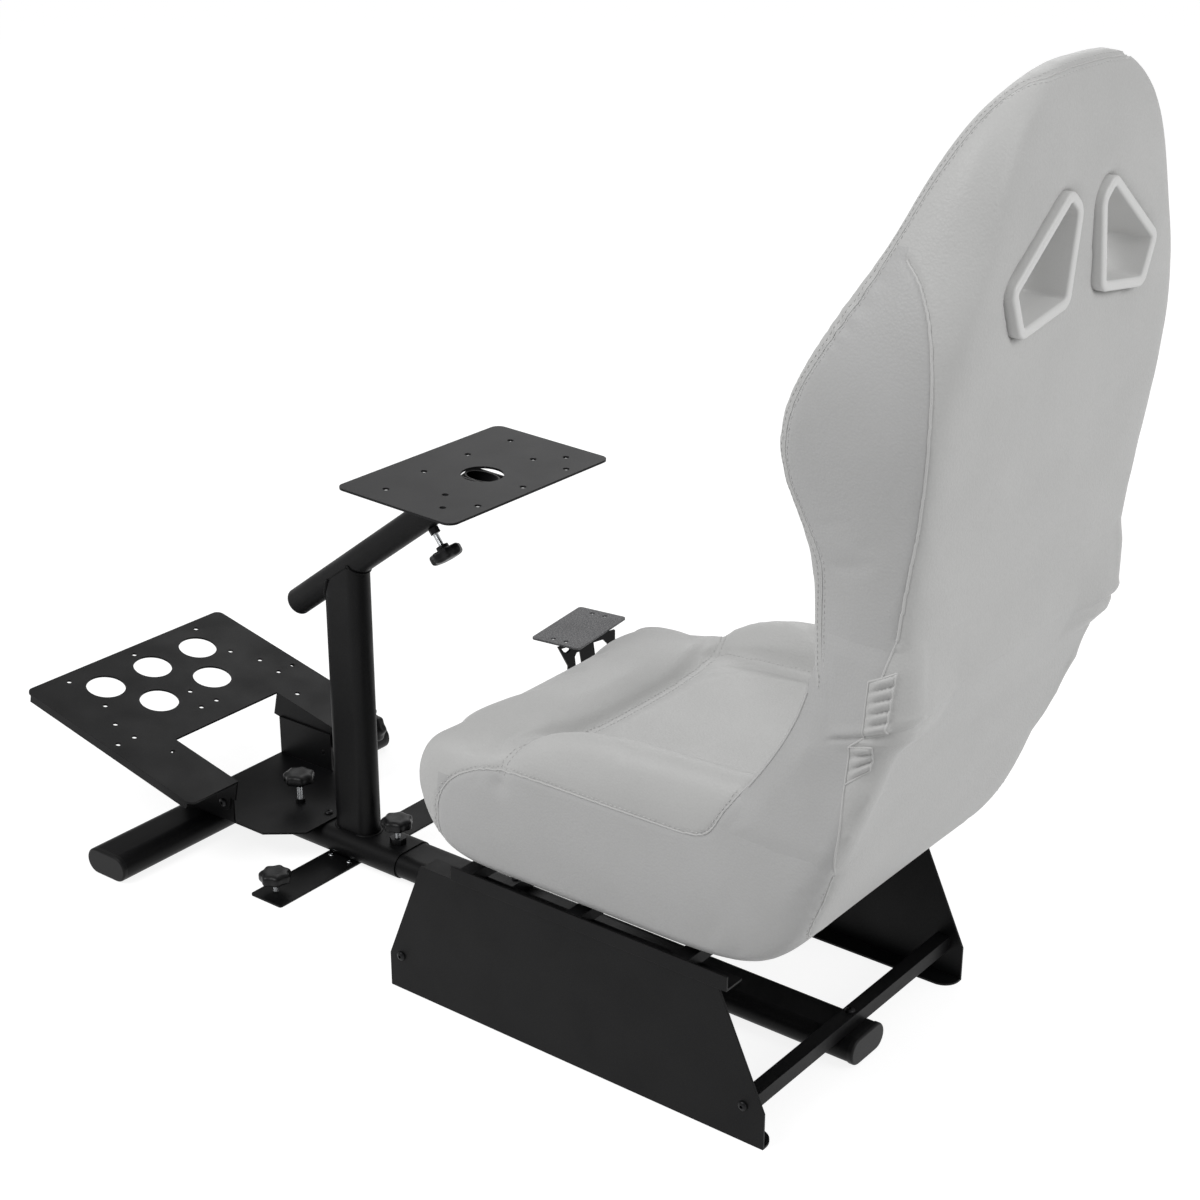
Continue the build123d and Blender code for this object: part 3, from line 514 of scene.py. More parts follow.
def pressSeam(piece, path, depth, width):
    # pulls the cover in along a seam
    coords = coordsOf(piece)
    normals = normalsOf(piece)
    line = np.array([tuple(p) for p in path])
    low, high = line.min(0) - 4 * width, line.max(0) + 4 * width
    near = np.nonzero(((coords > low) & (coords < high)).all(1))[0]
    gap = np.full(len(near), 9.0)
    for point in line:
        gap = np.minimum(gap, ((coords[near] - point) ** 2).sum(1))
    coords[near] -= normals[near] * (depth * np.exp(-gap / width ** 2))[:, None]
    setCoords(piece, coords)


def tubeAlong(name, path, radius, closed=False, sides=3):
    clearSelection()
    curve = bpy.data.curves.new(name, 'CURVE')
    curve.dimensions = '3D'
    curve.bevel_depth = radius
    curve.bevel_resolution = sides
    curve.use_fill_caps = True
    spline = curve.splines.new('POLY')
    spline.points.add(len(path) - 1)
    for point, place in zip(spline.points, path):
        point.co = (*place, 1)
    spline.use_cyclic_u = closed
    piece = bpy.data.objects.new(name, curve)
    bpy.context.scene.collection.objects.link(piece)
    pickOnly(piece)
    bpy.ops.object.convert(target='MESH')
    smoothShade(piece, 60)
    return bpy.context.object


stitchSizes = {
    "length": mm(4.6), "width": mm(1.1), "height": mm(0.9), "pitch": mm(7.0), "proud": mm(0.25),
}


def stitchMesh():
    clearSelection()
    bpy.ops.mesh.primitive_uv_sphere_add(segments=6, ring_count=4, radius=0.5)
    stitch = bpy.context.object
    stitch.scale = (stitchSizes["length"], stitchSizes["width"], stitchSizes["height"])
    placeMesh(stitch)
    return stitch


def sewLine(name, hits):
    # one stitch, copied along the path with its length along the seam
    template = stitchMesh()
    built = bmesh.new()
    for (here, normal), (after, _) in zip(hits, hits[1:]):
        way = after - here
        if way.length > 3 * stitchSizes["pitch"] or way.length < 1e-6:
            continue
        start = len(built.verts)
        built.from_mesh(template.data)
        built.verts.ensure_lookup_table()
        place = frameAlong(here + normal * stitchSizes["proud"], normal, way)
        bmesh.ops.transform(built, matrix=place, verts=built.verts[start:])
    mesh = bpy.data.meshes.new(name)
    built.to_mesh(mesh)
    built.free()
    bpy.data.objects.remove(template)
    piece = bpy.data.objects.new(name, mesh)
    bpy.context.scene.collection.objects.link(piece)
    smoothShade(piece, 60)
    dress(piece, seamThread)
    return piece


# Seat base

seatBase = {
    # y, lowest z, half width, top of the bolsters, inner edge of the bolsters, top of the pan
    "stations": (
        (0.3380, 0.3260, 0.228, 0.361, 0.140, 0.361),
        (0.3410, 0.3040, 0.240, 0.379, 0.150, 0.382),
        (0.3540, 0.2700, 0.247, 0.391, 0.158, 0.397),
        (0.3780, 0.2380, 0.248, 0.398, 0.165, 0.403),
        (0.4150, 0.2215, 0.247, 0.402, 0.168, 0.405),
        (0.4700, 0.2215, 0.247, 0.404, 0.172, 0.402),
        (0.5100, 0.2215, 0.247, 0.424, 0.174, 0.398),
        (0.5500, 0.2215, 0.247, 0.450, 0.174, 0.396),
        (0.6200, 0.2215, 0.247, 0.471, 0.172, 0.394),
        (0.7000, 0.2215, 0.247, 0.475, 0.168, 0.390),
        (0.7800, 0.2215, 0.247, 0.476, 0.160, 0.386),
        (0.8500, 0.2300, 0.247, 0.478, 0.154, 0.386),
        (0.8950, 0.2560, 0.247, 0.481, 0.150, 0.400),
        (0.9300, 0.3000, 0.246, 0.484, 0.150, 0.470),
        (0.9650, 0.3900, 0.245, 0.486, 0.150, 0.482),
        (0.9850, 0.4550, 0.243, 0.484, 0.150, 0.482),
    ),
    "voxel": mm(7.2),
    "pressure": 4.0,
    "cap": mm(14),
}
baseSeams = {
    "crossY": (
        (-0.246, 0.484), (-0.19, 0.510), (-0.12, 0.520), (0.0, 0.524), (0.12, 0.520), (0.19, 0.510),
        (0.246, 0.484),
    ),
    "bolsterX": 0.172,
    "bolsterFrom": 0.516,
    "bolsterTo": 0.885,
    "side": (
        (0.383, 0.238), (0.3815, 0.283), (0.388, 0.321), (0.410, 0.352), (0.450, 0.374),
        (0.505, 0.386), (0.560, 0.389), (0.640, 0.390), (0.720, 0.391), (0.780, 0.394),
        (0.802, 0.406), (0.820, 0.436), (0.844, 0.474),
    ),
    "rear": ((0.885, 0.232), (0.918, 0.290), (0.943, 0.345), (0.960, 0.394)),
    "grooveDepth": mm(2.0),
    "grooveWidth": mm(3.4),
    "valleyDepth": mm(5),
    "valleyWidth": mm(13),
    "pipingRadius": mm(1.3),
    "stitchOffset": mm(4.5),
    "sideFromX": 0.2,
}
baseHold = {
    # what stays where it is while the foam swells
    "bottomZ": 0.245,
    "troughRadius": 0.085,
    "fade": 0.02,
    "topFrom": 0.3,
    "crossWidth": 0.010,
    "bolsterWidth": 0.009,
    "bolsterFrom": 0.51,
    "bolsterTo": 0.9,
    "sideWidth": 0.010,
    "sideZ": 0.389,
    "sideFromX": 0.22,
    "sideFrom": 0.45,
    "sideTo": 0.80,
}
hinge = {
    "y": 0.960, "z": 0.525, "bossRadius": 0.050, "bossHalf": 0.2045, "troughRadius": 0.0556,
    "cheekRadius": 0.0515, "cheekInner": 0.2112, "cheekOuter": 0.2475, "troughHalf": 0.2105,
    "bossGap": mm(0.5), "clearRadius": mm(57.5), "clearHalf": 0.30, "cheekEdge": mm(9),
    # the block under each cheek: forward of the axis, below it, its depth and its height
    "neckForward": mm(7), "neckDown": mm(38), "neckDepth": mm(74), "neckHeight": mm(76),
}


def baseRing(y, low, half, top, inner, pan):
    # one cross section of the base, from its bottom middle round the left side
    left = [
        (half * 0.60, low), (half - 0.022, low), (half - 0.004, low + 0.018),
        (half, low + (top - low) * 0.45), (half - 0.001, top - 0.034), (half - 0.012, top - 0.010),
        (half - 0.034, top), ((half + inner) / 2 - 0.004, top - 0.004),
        (inner + 0.012, pan + (top - pan) * 0.45), (inner - 0.010, pan + 0.003), (inner * 0.5, pan),
    ]
    right = [(-x, z) for x, z in reversed(left)]
    return [(x, y, z) for x, z in ((0, low), *left, (0, pan), *right)]


def makeSeatBase():
    piece = loftRings("seatBase", [baseRing(*station) for station in seatBase["stations"]])
    applyModifier(piece, 'SUBSURF', levels=2, render_levels=2)
    cutAway(piece, roundPost(
        "trough", hinge["troughRadius"], -hinge["troughHalf"], hinge["troughHalf"],
        hinge["y"], hinge["z"],
    ))
    cheeks = []
    for side in (1, -1):
        near, far = sorted((side * hinge["cheekInner"], side * hinge["cheekOuter"]))
        cheek = roundPost("cheek", hinge["cheekRadius"], near, far, hinge["y"], hinge["z"])
        inEditMode(cheek, lambda centre, normal: normal.x * side > 0.9)
        bpy.ops.mesh.bevel(offset=hinge["cheekEdge"], segments=5, affect='EDGES')
        bpy.ops.object.mode_set(mode='OBJECT')
        cheeks.append(cheek)
        clearSelection()
        middle = ((near + far) / 2, hinge["y"] - hinge["neckForward"], hinge["z"] - hinge["neckDown"])
        bpy.ops.mesh.primitive_cube_add(
            size=1, location=middle, scale=(far - near, hinge["neckDepth"], hinge["neckHeight"])
        )
        neck = bpy.context.object
        placeMesh(neck)
        inEditMode(neck)
        bpy.ops.mesh.bevel(offset=hinge["cheekEdge"], segments=4, affect='EDGES')
        bpy.ops.object.mode_set(mode='OBJECT')
        cheeks.append(neck)
    piece = joined([piece, *cheeks], "seatBase")
    remeshed(piece, seatBase["voxel"], 4)
    return piece


def baseHeld(coords):
    # the bottom, the trough round the boss and the lines of the seams stay where they are
    x, y, z = np.abs(coords[:, 0]), coords[:, 1], coords[:, 2]
    axis = np.hypot(y - hinge["y"], z - hinge["z"])
    held = np.where(z < baseHold["bottomZ"], 1.0, 0.0)
    held = np.maximum(held, np.clip((baseHold["troughRadius"] - axis) / baseHold["fade"], 0, 1))
    onTop = z > baseHold["topFrom"]
    seamY = np.interp(x, *zip(*baseSeams["crossY"][3:]))
    acrossSeam = np.exp(-((y - seamY) / baseHold["crossWidth"]) ** 2) * onTop
    alongSeam = np.exp(-((x - baseSeams["bolsterX"]) / baseHold["bolsterWidth"]) ** 2)
    alongSeam *= onTop * (y > baseHold["bolsterFrom"]) * (y < baseHold["bolsterTo"])
    sideSeam = np.exp(-((z - baseHold["sideZ"]) / baseHold["sideWidth"]) ** 2)
    sideSeam *= (x > baseHold["sideFromX"]) * (y > baseHold["sideFrom"]) * (y < baseHold["sideTo"])
    return np.maximum.reduce([held, acrossSeam * 0.9, alongSeam * 0.9, sideSeam * 0.8])


base = makeSeatBase()
puffUp(base, baseHeld, seatBase["pressure"], seatBase["cap"])
applyModifier(base, 'SUBSURF', levels=1, render_levels=1)
smoothShade(base, 180)
dress(base, seatLeather)
print("seat base:", len(base.data.polygons), "faces")


# Seat back

seatBack = {
    # z, half width, ridge, rear, front of the wing and its x, edge of the middle panel, its front
    "stations": (
        (0.5480, 0.230, 0.212, 1.010, 0.922, 0.208, 0.130, 0.930),
        (0.5800, 0.243, 0.230, 1.032, 0.921, 0.226, 0.138, 0.944),
        (0.6250, 0.250, 0.240, 1.046, 0.921, 0.237, 0.143, 0.958),
        (0.7000, 0.250, 0.240, 1.052, 0.919, 0.240, 0.148, 0.972),
        (0.7700, 0.252, 0.242, 1.060, 0.917, 0.242, 0.150, 0.979),
        (0.8200, 0.257, 0.244, 1.066, 0.896, 0.246, 0.150, 0.984),
        (0.8600, 0.266, 0.248, 1.071, 0.880, 0.253, 0.150, 0.990),
        (0.9050, 0.275, 0.248, 1.076, 0.878, 0.260, 0.150, 0.994),
        (0.9550, 0.277, 0.247, 1.081, 0.890, 0.259, 0.148, 0.998),
        (1.0150, 0.265, 0.234, 1.086, 0.921, 0.248, 0.144, 1.002),
        (1.0600, 0.247, 0.215, 1.089, 0.946, 0.231, 0.138, 1.003),
        (1.1100, 0.224, 0.192, 1.091, 0.973, 0.208, 0.128, 1.003),
        (1.1550, 0.208, 0.178, 1.091, 0.990, 0.193, 0.116, 1.004),
        (1.2000, 0.188, 0.159, 1.089, 1.010, 0.173, 0.100, 1.012),
        (1.2380, 0.160, 0.133, 1.085, 1.028, 0.144, 0.080, 1.028),
        (1.2630, 0.113, 0.091, 1.080, 1.045, 0.098, 0.052, 1.044),
        (1.2780, 0.054, 0.041, 1.074, 1.056, 0.045, 0.025, 1.057),
    ),
    "voxel": mm(7.0),
    "pressure": 4.0,
    "cap": mm(12),
}
harness = {
    "outline": ((0.049, 1.151), (0.020, 1.128), (0.036, 1.025), (0.141, 1.010), (0.167, 1.066)),
    "corner": mm(12),
    "ring": mm(12),
    "cutFrom": 0.80,
    "cutTo": 1.30,
    # middle of the left hole and how far round it the cover is held
    "centre": (0.085, 1.075),
    "holdRadius": 0.105,
}
backHold = {
    # what stays where it is while the foam swells
    "hingeRadius": 0.090,
    "shellDepth": 0.030,
    "fade": 0.02,
    "seamWidth": 0.008,
    "edgeSetback": 0.024,
}


def backRing(z, half, ridge, rear, wing, wingX, inner, middle):
    # one level of the back, from the middle of its rear face round the left side
    left = [
        (ridge * 0.55, rear), (ridge - 0.010, rear + 0.002), (ridge + 0.016, rear - 0.004),
        (max(half, ridge + 0.020), rear - 0.034), (half, (rear + wing) / 2),
        (half - 0.003, wing + 0.036),
        (wingX + 0.012, wing + 0.012), (wingX - 0.010, wing + 0.002),
        (wingX - 0.036, wing + (middle - wing) * 0.42), (inner + 0.006, middle - 0.006),
        (inner * 0.5, middle),
    ]
    right = [(-x, y) for x, y in reversed(left)]
    return [(x, y, z) for x, y in ((0, rear), *left, (0, middle), *right)]


def harnessPost(side):
    # the prism that the harness hole is cut with, rounded at its corners
    clearSelection()
    corners = len(harness["outline"])
    bpy.ops.mesh.primitive_cylinder_add(vertices=corners, radius=1, depth=2)
    post = bpy.context.object
    spots = sorted(
        {round(math.atan2(v.co.y, v.co.x), 3) for v in post.data.vertices}, reverse=True
    )
    for vertex in post.data.vertices:
        x, z = harness["outline"][spots.index(round(math.atan2(vertex.co.y, vertex.co.x), 3))]
        y = harness["cutFrom"] if vertex.co.z < 0 else harness["cutTo"]
        vertex.co = (side * x, y, z)
    facingOut(post)
    pickOnly(post)
    bpy.ops.object.mode_set(mode='EDIT')
    bpy.ops.mesh.select_mode(type='EDGE')
    bpy.ops.mesh.select_all(action='DESELECT')
    bpy.ops.object.mode_set(mode='OBJECT')
    for edge in post.data.edges:
        a, b = (post.data.vertices[i].co for i in edge.vertices)
        edge.select = abs(a.y - b.y) > 0.1
    bpy.ops.object.mode_set(mode='EDIT')
    bpy.ops.mesh.bevel(offset=harness["corner"], segments=6, affect='EDGES')
    bpy.ops.object.mode_set(mode='OBJECT')
    return post


def makeSeatBack():
    piece = loftRings("seatBackPad", [backRing(*station) for station in seatBack["stations"]])
    applyModifier(piece, 'SUBSURF', levels=2, render_levels=2)
    for side in (1, -1):
        near, far = sorted((side * (hinge["bossHalf"] + hinge["bossGap"]), side * hinge["clearHalf"]))
        cutAway(piece, roundPost("clearance", hinge["clearRadius"], near, far, hinge["y"], hinge["z"]))
        cutAway(piece, harnessPost(side))
    boss = roundPost(
        "boss", hinge["bossRadius"] - hinge["bossGap"], -hinge["bossHalf"], hinge["bossHalf"],
        hinge["y"], hinge["z"],
    )
    piece = joined([piece, boss], "seatBackPad")
    remeshed(piece, seatBack["voxel"], 4)
    return piece


def backHeld(coords):
    # the shell behind, the boss, the harness holes and the lines of the seams stay where they are
    x, y, z = np.abs(coords[:, 0]), coords[:, 1], coords[:, 2]
    levels = np.array(seatBack["stations"])
    rear = np.interp(z, levels[:, 0], levels[:, 3])
    wing = np.interp(z, levels[:, 0], levels[:, 4])
    inner = np.interp(z, levels[:, 0], levels[:, 6])
    middle = np.interp(z, levels[:, 0], levels[:, 7])
    axis = np.hypot(y - hinge["y"], z - hinge["z"])
    fade, seamWidth = backHold["fade"], backHold["seamWidth"]
    held = np.clip((backHold["hingeRadius"] - axis) / fade, 0, 1)
    held = np.maximum(held, np.clip((y - rear + backHold["shellDepth"]) / fade, 0, 1) * 0.95)
    holeX, holeZ = harness["centre"]
    hole = np.hypot(x - holeX, z - holeZ)
    held = np.maximum(held, np.clip((harness["holdRadius"] - hole) / fade, 0, 1))
    edgeSeam = np.exp(-((y - wing - backHold["edgeSetback"]) / seamWidth) ** 2) * (x > inner + 0.02)
    panelSeam = np.exp(-((x - inner) / seamWidth) ** 2) * (y < (rear + middle) / 2)
    return np.maximum.reduce([held, edgeSeam * 0.9, panelSeam * 0.9])


back = makeSeatBack()
puffUp(back, backHeld, seatBack["pressure"], seatBack["cap"])
applyModifier(back, 'SUBSURF', levels=1, render_levels=1)
smoothShade(back, 180)
dress(back, seatLeather)
print("seat back:", len(back.data.polygons), "faces")


# Seams, piping and stitches of the seat back

backSeams = {
    # y and z of the piped seam on each side, from the hinge cover up to the shoulder
    "piped": (
        (1.0382, 0.709), (1.0396, 0.720), (1.0481, 0.778), (1.0565, 0.828), (1.0621, 0.872),
        (1.0662, 0.927), (1.0661, 0.969), (1.0613, 1.009), (1.0501, 1.047), (1.0325, 1.078),
        (1.0101, 1.099),
    ),
    "pipingRadius": mm(1.7),
    "edgeSetback": mm(22),
    "edgeInset": mm(4),
    # from the shoulder up the seam runs nearer the front edge, by this share of its setback
    "shoulderZ": 1.1,
    "headShare": 0.65,
    "edgeTop": ((0.092, 1.071, 1.260), (0.045, 1.077, 1.267), (0.0, 1.079, 1.269)),
    "grooveDepth": mm(2.0),
    "grooveWidth": mm(4.0),
    "stitchOffset": mm(5.0),
    "panelStitchOffset": mm(4),
    "weltRadius": mm(1.0),
    "panelBottom": 0.600,
    "panelTop": 0.985,
    "channels": (0.690, 0.790, 0.890),
    "channelDepth": mm(4.5),
    "channelWidth": mm(9),
    "gathers": {
        "from": 0.985, "to": 1.105, "fromX": 0.17, "pitch": mm(22), "depth": mm(0.9), "reach": mm(15),
        "wander": mm(23),
    },
    # where the boxed side panel lies
    "sidePanel": {"low": 0.56, "high": 1.11, "fromX": 0.185, "rearY": 1.075},
}


def levelAt(z, column):
    levels = np.array(seatBack["stations"])
    return float(np.interp(z, levels[:, 0], levels[:, column]))


def edgeSeamPoints():
    # round the front edge: up one side, over the head and down the other
    left = []
    for z, half, _, _, wing, _, _, _ in seatBack["stations"][1:-2]:
        share = 1 if z < backSeams["shoulderZ"] else backSeams["headShare"]
        left.append((half - backSeams["edgeInset"], wing + backSeams["edgeSetback"] * share, z))
    top = [*backSeams["edgeTop"], *[(-x, y, z) for x, y, z in reversed(backSeams["edgeTop"][:-1])]]
    return [*left, *top, *[(-x, y, z) for x, y, z in reversed(left)]]


def beside(tree, hits, offset):
    # the same seam moved sideways on the surface
    moved = []
    for (here, normal), (after, _) in zip(hits, hits[1:]):
        sideways = normal.cross(after - here)
        if sideways.length > 1e-9:
            moved.append(here + sideways.normalized() * offset)
    return nearestOn(tree, moved)


def gatherCover(piece, path):
    # short puckers beside the seam, where the cover is eased round the shoulder
    gathers = backSeams["gathers"]
    coords = coordsOf(piece)
    normals = normalsOf(piece)
    line = np.array([tuple(p) for p in path])
    walked = np.concatenate([[0], np.cumsum(np.linalg.norm(np.diff(line, axis=0), axis=1))])
    inBand = (coords[:, 2] > gathers["from"]) & (coords[:, 2] < gathers["to"])
    near = np.nonzero(inBand & (np.abs(coords[:, 0]) > gathers["fromX"]))[0]
    gap = np.full(len(near), 9.0)
    along = np.zeros(len(near))
    for point, distance in zip(line, walked):
        step = np.linalg.norm(coords[near] - point, axis=1)
        closer = step < gap
        gap[closer] = step[closer]
        along[closer] = distance
    fade = np.sin(np.pi * (coords[near, 2] - gathers["from"]) / (gathers["to"] - gathers["from"]))
    wave = np.sin(2 * np.pi * along / gathers["pitch"] + 2.2 * np.sin(along / gathers["wander"]))
    lift = gathers["depth"] * wave * fade * np.exp(-(gap / gathers["reach"]) ** 2)
    coords[near] += normals[near] * lift[:, None]
    setCoords(piece, coords)


def sewBack():
    depth, width = backSeams["grooveDepth"], backSeams["grooveWidth"]
    tree = treeOf(back)
    edge = [spot for spot, _ in nearestOn(tree, smoothPath(edgeSeamPoints(), walkStep))]
    gatherCover(back, edge)
    pressSeam(back, edge, depth, width)
    piped = []
    for side in (1, -1):
        walk = smoothPath([(0, y, z) for y, z in backSeams["piped"]], walkStep)
        hits = castOnto(tree, walk, (-side, 0, 0))
        piped.append([spot for spot, _ in hits])
        pressSeam(back, piped[-1], depth, width)
    bottom, top = backSeams["panelBottom"], backSeams["panelTop"]
    panel = []
    for side in (1, -1):
        upright = [(side * levelAt(z, 6), 0, z) for z in np.arange(bottom, top, walkStep)]
        panel.append([spot for spot, _ in castOnto(tree, upright, (0, 1, 0))])
    for z in (*backSeams["channels"], top):
        reach = levelAt(z, 6)
        across = [(x, 0, z) for x in np.arange(-reach, reach, walkStep)]
        panel.append([spot for spot, _ in castOnto(tree, across, (0, 1, 0))])
    for line in panel:
        pressSeam(back, line, backSeams["channelDepth"], backSeams["channelWidth"])
        pressSeam(back, line, depth, width)
    tree = treeOf(back)
    for name, path in zip(("Left", "Right"), piped):
        path = [spot for spot, _ in nearestOn(tree, path)]
        piping = tubeAlong("backPiping" + name, path, backSeams["pipingRadius"])
        dress(piping, pipingVinyl)
        hand(piping, "backrest")
    thread = []
    even = smoothPath(edge, stitchSizes["pitch"])
    for offset in (backSeams["stitchOffset"], -backSeams["stitchOffset"]):
        thread.append(sewLine("edgeThread", beside(tree, nearestOn(tree, even), offset)))
    for line in panel:
        even = smoothPath(line, stitchSizes["pitch"])
        offset = backSeams["panelStitchOffset"]
        thread.append(sewLine("panelThread", beside(tree, nearestOn(tree, even), offset)))
    thread = joined(thread, "seatBackStitches")
    hand(thread, "backrest")
    rim = [spot for spot, _ in nearestOn(tree, edge)]
    welt = tubeAlong("seatBackEdgeWelt", rim, backSeams["weltRadius"])
    dress(welt, pipingVinyl)
    hand(welt, "backrest")


def shadePanels(piece, isSide):
    # the boxed side panels get a darker copy of the same leatherette, a painted shade
    piece.data.materials.append(shadedSideLeather)
    for face in piece.data.polygons:
        if isSide(face.center, face.normal):
            face.material_index = 1


def onBackSide(centre, normal):
    panel = backSeams["sidePanel"]
    if not panel["low"] < centre.z < panel["high"]:
        return False
    if abs(centre.x) < panel["fromX"] or centre.y > panel["rearY"]:
        return False
    piped = sorted((z, y) for y, z in backSeams["piped"])
    seamY = np.interp(centre.z, [z for z, _ in piped], [y for _, y in piped])
    return levelAt(centre.z, 4) + backSeams["edgeSetback"] < centre.y < seamY and normal.x * centre.x > 0


sewBack()
shadePanels(back, onBackSide)
print("seat back seams")


# Seams of the seat base, with the values of baseSeams above

def sewBase():
    tree = treeOf(base)
    cross = smoothPath([(x, y, 0.5) for x, y in baseSeams["crossY"]], walkStep)
    lines = {"cross": [spot for spot, _ in castOnto(tree, cross, (0, 0, -1))]}
    for side in (1, -1):
        top = [
            (side * baseSeams["bolsterX"], y, 0.55)
            for y in np.arange(baseSeams["bolsterFrom"], baseSeams["bolsterTo"], walkStep)
        ]
        lines[f"bolster{side}"] = [spot for spot, _ in castOnto(tree, top, (0, 0, -1))]
        for name in ("side", "rear"):
            walk = smoothPath([(0, y, z) for y, z in baseSeams[name]], walkStep)
            lines[f"{name}{side}"] = [spot for spot, _ in castOnto(tree, walk, (-side, 0, 0))]
    for name, line in lines.items():
        if name.startswith(("cross", "bolster")):
            pressSeam(base, line, baseSeams["valleyDepth"], baseSeams["valleyWidth"])
        pressSeam(base, line, baseSeams["grooveDepth"], baseSeams["grooveWidth"])
    tree = treeOf(base)
    thread = []
    for name, line in lines.items():
        hits = nearestOn(tree, line)
        if name.startswith(("side", "rear")):
            piping = tubeAlong("basePiping", [spot for spot, _ in hits], baseSeams["pipingRadius"])
            dress(piping, pipingVinyl)
            piping.name = f"basePiping_{name.replace('-1', 'Right').replace('1', 'Left')}"
            hand(piping, "base")
        even = nearestOn(tree, smoothPath(line, stitchSizes["pitch"]))
        for turned in (1, -1) if name == "cross" else (1,):
            offset = turned * baseSeams["stitchOffset"]
            thread.append(sewLine("baseThread", beside(tree, even, offset)))
    thread = joined(thread, "seatBaseStitches")
    hand(thread, "base")


def onBaseSide(centre, normal):
    if abs(centre.x) < baseSeams["sideFromX"] or normal.x * centre.x <= 0:
        return False
    seam = baseSeams["side"]
    seamZ = np.interp(centre.y, [y for y, _ in seam[3:]], [z for _, z in seam[3:]])
    rear = baseSeams["rear"]
    rearY = np.interp(centre.z, [z for _, z in rear], [y for y, _ in rear])
    return centre.y > seam[1][0] + 0.002 and centre.z < seamZ and centre.y < rearY


sewBase()
shadePanels(base, onBaseSide)
hand(base, "base", ["seat_cushion"])
hand(back, "backrest", ["seat_back"])
print("seat base seams")


# Cover over the hinge: one sheet round the rear from side to side, with pleats at both corners

hingeCover = {
    "zLow": 0.396,
    "zHigh": 0.712,
    "rows": 158,
    "sideColumns": 98,
    "rearColumns": 56,
    # points of each level: along a side, round a corner and across half the rear
    "flatPoints": 12,
    "cornerSteps": 12,
    "rearPoints": 8,
    "cornerSlack": mm(6),
    # z and the y where the sheet starts on each side
    "front": (
        (0.396, 0.800), (0.420, 0.812), (0.446, 0.828), (0.474, 0.846), (0.500, 0.864), (0.525, 0.880),
        (0.550, 0.894), (0.580, 0.908), (0.612, 0.919), (0.650, 0.929), (0.712, 0.938),
    ),
    # z and the y of a surface just behind both pads, from which the sheet is laid onto them
    "behind": (
        (0.396, 0.990), (0.436, 1.002), (0.505, 1.022), (0.560, 1.052), (0.620, 1.077), (0.712, 1.082),
    ),
    "sideX": 0.268,
    "cornerRadius": 0.046,
    "sideHang": 0.031,
    "rearGap": 0.2,
    "lift": mm(2.0),
    "tuck": mm(1.4),
    "edgeRows": 20,
    "slack": mm(12),
    "stretches": 900,
    "thickness": mm(1.2),
    # y and z at the front and the rear end of the fold on each side
    "foldFront": (0.950, 0.566),
    "foldRear": (1.045, 0.607),
    "foldDepth": mm(3.0),
    "foldWidth": mm(3.2),
    "rollAbove": mm(9),
    "rollWidth": mm(6.5),
    # corners of each pleated patch as y and z: top front, top rear, bottom rear, bottom front
    "upper": ((1.012, 0.659), (1.041, 0.674), (1.034, 0.603), (1.007, 0.591)),
    "lower": ((0.985, 0.571), (1.017, 0.582), (1.009, 0.548), (0.981, 0.524)),
    "pleats": {"upper": 5, "lower": 3},
    "pleatHeight": mm(5.5),
    # beyond this x the sheet has its pleats and its side panel
    "sideFromX": 0.19,
    "bulge": mm(11),
    "weltRadius": mm(1.3),
    "weltStep": mm(2),
    # the welt along the front edge: its inset, lower end and upper end
    "rimInset": mm(2),
    "rimLow": 0.46,
    "rimHigh": 0.64,
    "castX": 0.35,
    # y and z where the side panel ends, down the patches and on to the base
    "panelEdge": (
        (1.0380, 0.712), (1.0265, 0.667), (1.012, 0.659), (1.007, 0.591), (0.985, 0.571),
        (0.981, 0.524), (0.979, 0.490), (0.975, 0.455), (0.960, 0.396),
    ),
    "blendFrom": (0.0, 0.985, 0.497),
    "blendTo": (0.0, 1.010, 0.600),
}


def behindBoth(z):
    # one level of a surface outside both pads: its points and the ways it faces, left to right
    rear = float(np.interp(z, *zip(*hingeCover["behind"])))
    front = float(np.interp(z, *zip(*hingeCover["front"])))
    sideX, radius = hingeCover["sideX"], hingeCover["cornerRadius"]
    flat = np.linspace(front, rear - radius, hingeCover["flatPoints"])
    half = [(sideX, y, 1.0, 0.0) for y in flat[:-1]]
    for step in range(hingeCover["cornerSteps"] + 1):
        turn = math.pi / 2 * step / hingeCover["cornerSteps"]
        across, back = math.cos(turn), math.sin(turn)
        half.append((sideX - radius * (1 - across), rear - radius * (1 - back), across, back))
    half += [(x, rear, 0.0, 1.0) for x in np.linspace(sideX - radius, 0, hingeCover["rearPoints"])[1:]]
    return np.array([*half, *[(-x, y, -nx, ny) for x, y, nx, ny in reversed(half[:-1])]])


def walkedAlong(table):
    return np.concatenate([[0], np.cumsum(np.linalg.norm(np.diff(table[:, :2], axis=0), axis=1))])


def coverRow(z):
    # the level cut into narrow columns at the sides and corners and wide ones across the rear
    table = behindBoth(z)
    walked = walkedAlong(table)
    cornerEnd = hingeCover["flatPoints"] - 1 + hingeCover["cornerSteps"]
    sideEnd = float(walked[cornerEnd]) + hingeCover["cornerSlack"]
    left = np.linspace(0, sideEnd, hingeCover["sideColumns"] + 1)
    rear = np.linspace(sideEnd, walked[-1] - sideEnd, hingeCover["rearColumns"] + 1)[1:-1]
    places = np.concatenate([left, rear, walked[-1] - left[::-1]])
    return np.array([[np.interp(s, walked, table[:, k]) for k in range(4)] for s in places])


